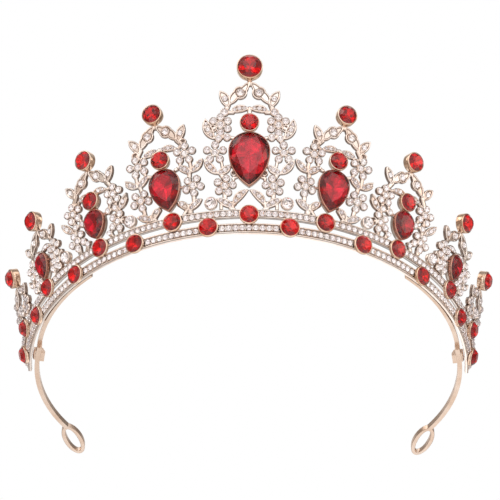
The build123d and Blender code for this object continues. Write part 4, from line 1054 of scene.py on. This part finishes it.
crests = [Crest(k) for k in range(5)]
for k, crest in enumerate(crests):
    body = casting(crest, STEP)
    stones = Shape()
    for i, ((x, y), r, kind) in enumerate(crest.kept):
        small_stone(stones, crest.place.moved(x, y, S_CREST_FLOOR + 0.02), r, i * golden)
    if k == 0:
        piece("centre_crest_casting", body, [crest_metal], ["centre_crest"], 60)
        piece("centre_crest_stones", stones, [clear_glass, clear_foil], ["centre_crest_rhinestones"], smooth=False)
    else:
        for side, b, s in (("right", body, stones), ("left", body.mirrored(), stones.mirrored())):
            piece(f"{side}_crest_{k}_casting", b, [crest_metal], [f"{side}_crest_{k}"], 60)
            piece(f"{side}_crest_{k}_stones", s, [clear_glass, clear_foil], [f"{side}_crest_{k}_rhinestones"],
                  smooth=False)

spacer_places = both([panel_place(a, t) for a, t in SPACERS] + [crests[4].place.moved(0, END_SPACER_T - T0)])
c, g = round_set(spacer_places, SPACER_R, S_BACK, S_CREST + 0.35, 0.95, CUP_WALL, 0.5, 1.1)
piece("clear_stone_bezels", c, [crest_metal], ["clear_crystal_cups"], 50)
piece("clear_stones", g, [clear_glass, clear_foil], ["clear_crystals"], smooth=False)

c, g = round_set([crests[0].place.moved(0, FINIAL_T[0] - T0)], FINIAL_R0, S_BACK, -0.15, 1.9, CUP_WALL, 0.6, 1.7)
piece("centre_finial_bezel", c, [cup_metal], ["centre_finial_cup"], 50)
piece("centre_finial_stone", g, [red_glass, red_foil], ["centre_finial_crystal"], smooth=False)
c, g = round_set(both([crests[k].place.moved(0, FINIAL_T[k] - T0) for k in range(1, 5)]),
                 FINIAL_R, S_BACK, -0.15, 1.4, CUP_WALL, 0.6, 1.5)
piece("side_finial_bezels", c, [cup_metal], ["side_finial_cups"], 50)
piece("side_finial_stones", g, [red_glass, red_foil], ["side_finial_crystals"], smooth=False)
small = [crests[0].place.moved(0, SMALL_T[0] - T0)] + both([crests[k].place.moved(0, SMALL_T[k] - T0) for k in (1, 2)])
c, g = round_set(small, ROUND_R, S_CREST + 0.03, -0.1, 1.35, SMALL_WALL, 0.25, 1.5)
piece("small_round_bezels", c, [cup_metal], ["small_round_cups"], 50)
piece("small_round_stones", g, [red_glass, red_foil], ["small_round_crystals"], smooth=False)

for k, label in enumerate(("centre", "inner", "middle", "outer")):
    places = [crests[k].place.moved(0, PEAR_T[k] - T0)]
    if k:
        places = both(places)
    cups, gems = Shape(), Shape()
    w, L = PEAR_W[k], PEAR_L[k]
    back, rim, floor = S_CREST + 0.03, -0.1, 0.28
    facets = 16
    for p in places:
        cup(cups, p, lambda g: pear_line(w, L, g, 72), back, rim, 0.24, floor, FIT + 0.02)
        depth = rim - 0.02 - (back + floor) - 0.03
        ring = pear_line(w, L, 0.03, facets)
        # the two largest pear sizes get the painted-shade crown glass on their sloping facets
        put_gem(gems, p, ring, (0, -(L - w) * 0.32), 0.66, PEAR_CROWN[k], 0.16, depth, rim - 0.02, 0.83, 0.25, k < 2)
    many = "s" if k else ""
    piece(f"{label}_pear_setting{many}", cups, [bezel_metal], [f"{label}_pear_bezel{many}"], 50)
    piece(f"{label}_pear_stone{many}", gems, [crimson_glass, crimson_foil, crimson_shaded_glass], [f"{label}_pear_crystal{many}"],
          smooth=False)

for node, mat in (("left_headband_arm", band_metal), ("right_headband_arm", band_metal), ("left_crimp_tab", band_metal),
                  ("right_crimp_tab", band_metal), ("solder_seams", solder_metal)):
    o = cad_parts[node]
    if not o.material_slots:
        o.data.materials.append(mat)
    for s in o.material_slots:
        s.material = mat


# ---- stage --------------------------------------------------------------------------------------------
def floor_material():
    """Pale table seen from above only; it lets every other ray through."""
    m = bpy.data.materials.new("pale_table")
    m.use_nodes = True
    nt = m.node_tree
    nt.nodes.clear()
    out = nt.nodes.new("ShaderNodeOutputMaterial")
    dif = nt.nodes.new("ShaderNodeBsdfPrincipled")
    tc = nt.nodes.new("ShaderNodeTexCoord").outputs["Object"]
    nt.links.new(mix(nt, noise(nt, tc, 30.0), srgb(246, 244, 241), srgb(250, 249, 247)), dif.inputs["Base Color"])
    dif.inputs["Roughness"].default_value = 0.8
    dif.inputs["Specular IOR Level"].default_value = 0.1
    clear = nt.nodes.new("ShaderNodeBsdfTransparent")
    geo = nt.nodes.new("ShaderNodeNewGeometry")
    lp = nt.nodes.new("ShaderNodeLightPath")
    show = op(nt, "MULTIPLY", lp.outputs["Is Camera Ray"], op(nt, "SUBTRACT", 1.0, geo.outputs["Backfacing"]))
    ms = nt.nodes.new("ShaderNodeMixShader")
    nt.links.new(show, ms.inputs[0])
    nt.links.new(clear.outputs[0], ms.inputs[1])
    nt.links.new(dif.outputs[0], ms.inputs[2])
    nt.links.new(ms.outputs[0], out.inputs[0])
    return m


me = bpy.data.meshes.new("table_top")
me.from_pydata([(-4, -4, -0.0002), (4, -4, -0.0002), (4, 4, -0.0002), (-4, 4, -0.0002)], [], [(0, 1, 2, 3)])
me.materials.append(floor_material())
table_top = bpy.data.objects.new("table_top", me)
bpy.context.scene.collection.objects.link(table_top)

world = bpy.data.worlds.new("studio")
bpy.context.scene.world = world
world.use_nodes = True
nt = world.node_tree
nt.nodes.clear()
wout = nt.nodes.new("ShaderNodeOutputWorld")
tc = nt.nodes.new("ShaderNodeTexCoord").outputs["Generated"]


def lobe(axis, lo, hi, gain):
    n = nt.nodes.new("ShaderNodeVectorMath")
    n.operation = "DOT_PRODUCT"
    nt.links.new(tc, n.inputs[0])
    n.inputs[1].default_value = Vector(axis).normalized()
    mr = nt.nodes.new("ShaderNodeMapRange")
    mr.interpolation_type = "SMOOTHSTEP"
    for i, v in zip((1, 2, 3, 4), (lo, hi, 0.0, gain)):
        mr.inputs[i].default_value = v
    nt.links.new(n.outputs["Value"], mr.inputs[0])
    return mr.outputs[0]


total = None
for args in (((0.0, -1.0, 0.05), 0.35, 0.92, 1.05),     # broad panel in front
             ((0.0, 0.30, -1.0), 0.30, 0.80, 0.85),     # white sweep under the object
             ((-0.8, -0.45, 0.55), 0.90, 0.97, 1.6),    # strip light, upper left
             ((0.85, -0.35, 0.25), 0.93, 0.98, 1.2),    # strip light, right
             ((0.0, 0.55, 0.83), 0.72, 0.97, 0.6),     # top light behind
             ((0.0, 1.0, 0.12), 0.55, 0.95, 0.22)):     # weak fill from the back
    q = lobe(*args)
    total = q if total is None else op(nt, "ADD", total, q)
patch = maprange(nt, noise(nt, tc, 3.2, 2.0, 0.6), 0.38, 0.62, 0.5, 1.25)
total = op(nt, "MULTIPLY", op(nt, "ADD", total, 0.40), patch)
sep = nt.nodes.new("ShaderNodeSeparateXYZ")
nt.links.new(tc, sep.inputs[0])
side = maprange(nt, op(nt, "ABSOLUTE", sep.outputs[0]), 0.25, 0.95, 0.0, 1.0)
lp = nt.nodes.new("ShaderNodeLightPath")
seen = nt.nodes.new("ShaderNodeBackground")
seen.inputs[0].default_value = (1, 1, 1, 1)
seen.inputs[1].default_value = 1.0
lit = nt.nodes.new("ShaderNodeBackground")
nt.links.new(mix(nt, side, (1.0, 0.985, 0.97, 1), (1.0, 0.885, 0.79, 1)), lit.inputs[0])
nt.links.new(total, lit.inputs[1])
ms = nt.nodes.new("ShaderNodeMixShader")
nt.links.new(lp.outputs["Is Camera Ray"], ms.inputs[0])
nt.links.new(lit.outputs[0], ms.inputs[1])
nt.links.new(seen.outputs[0], ms.inputs[2])
nt.links.new(ms.outputs[0], wout.inputs[0])


def softbox(name, at, aim, size, power, glossy=False):
    la = bpy.data.lights.new(name, "AREA")
    la.shape, la.size, la.energy = "SQUARE", size, power
    o = bpy.data.objects.new(name, la)
    bpy.context.scene.collection.objects.link(o)
    o.location = at
    o.rotation_mode = "QUATERNION"
    o.rotation_quaternion = (Vector(aim) - Vector(at)).to_track_quat("-Z", "Y")
    o.visible_glossy = glossy
    o.visible_transmission = glossy
    o.visible_camera = False


softbox("key_softbox", (-0.5, -0.5, 1.1), (0, 0.07, 0.02), 0.9, 22.0)
softbox("fill_softbox", (0.7, 0.6, 0.9), (0, 0.07, 0.02), 0.9, 9.0)

# camera: below the ring plane, in front, long lens
F_PX = 3.12 * 700.0
d = np.array([0.0, math.cos(math.radians(41.0)), math.sin(math.radians(41.0))])
target = np.array([0.0, Y_CENTRE - RING_R, Z_BASE])
eye = target - 700.0 * d
r0 = np.array([1.0, 0.0, 0.0])
u0 = np.cross(r0, d)
roll = math.radians(0.27)
r1 = math.cos(roll) * r0 + math.sin(roll) * u0
u1 = -math.sin(roll) * r0 + math.cos(roll) * u0
DX, DY = -1.0, 24.7
fwd = d - (DX / F_PX) * r1 - (DY / F_PX) * u1
fwd /= np.linalg.norm(fwd)
right = r1 - (r1 @ fwd) * fwd
right /= np.linalg.norm(right)
up = np.cross(right, fwd)
cam_data = bpy.data.cameras.new("camera")
cam_data.sensor_width = 36.0
cam_data.lens = 36.0 * F_PX / 500.0
cam_data.clip_start, cam_data.clip_end = 0.01, 20.0
cam = bpy.data.objects.new("camera", cam_data)
bpy.context.scene.collection.objects.link(cam)
cam.matrix_world = Matrix(((right[0], up[0], -fwd[0], eye[0] * MM),
                           (right[1], up[1], -fwd[1], eye[1] * MM),
                           (right[2], up[2], -fwd[2], eye[2] * MM),
                           (0, 0, 0, 1)))
bpy.context.scene.camera = cam

sc = bpy.context.scene
sc.view_settings.view_transform = "Standard"
sc.view_settings.look = "None"
sc.cycles.max_bounces = 16
sc.cycles.glossy_bounces = 8
sc.cycles.transmission_bounces = 12
sc.cycles.transparent_max_bounces = 12
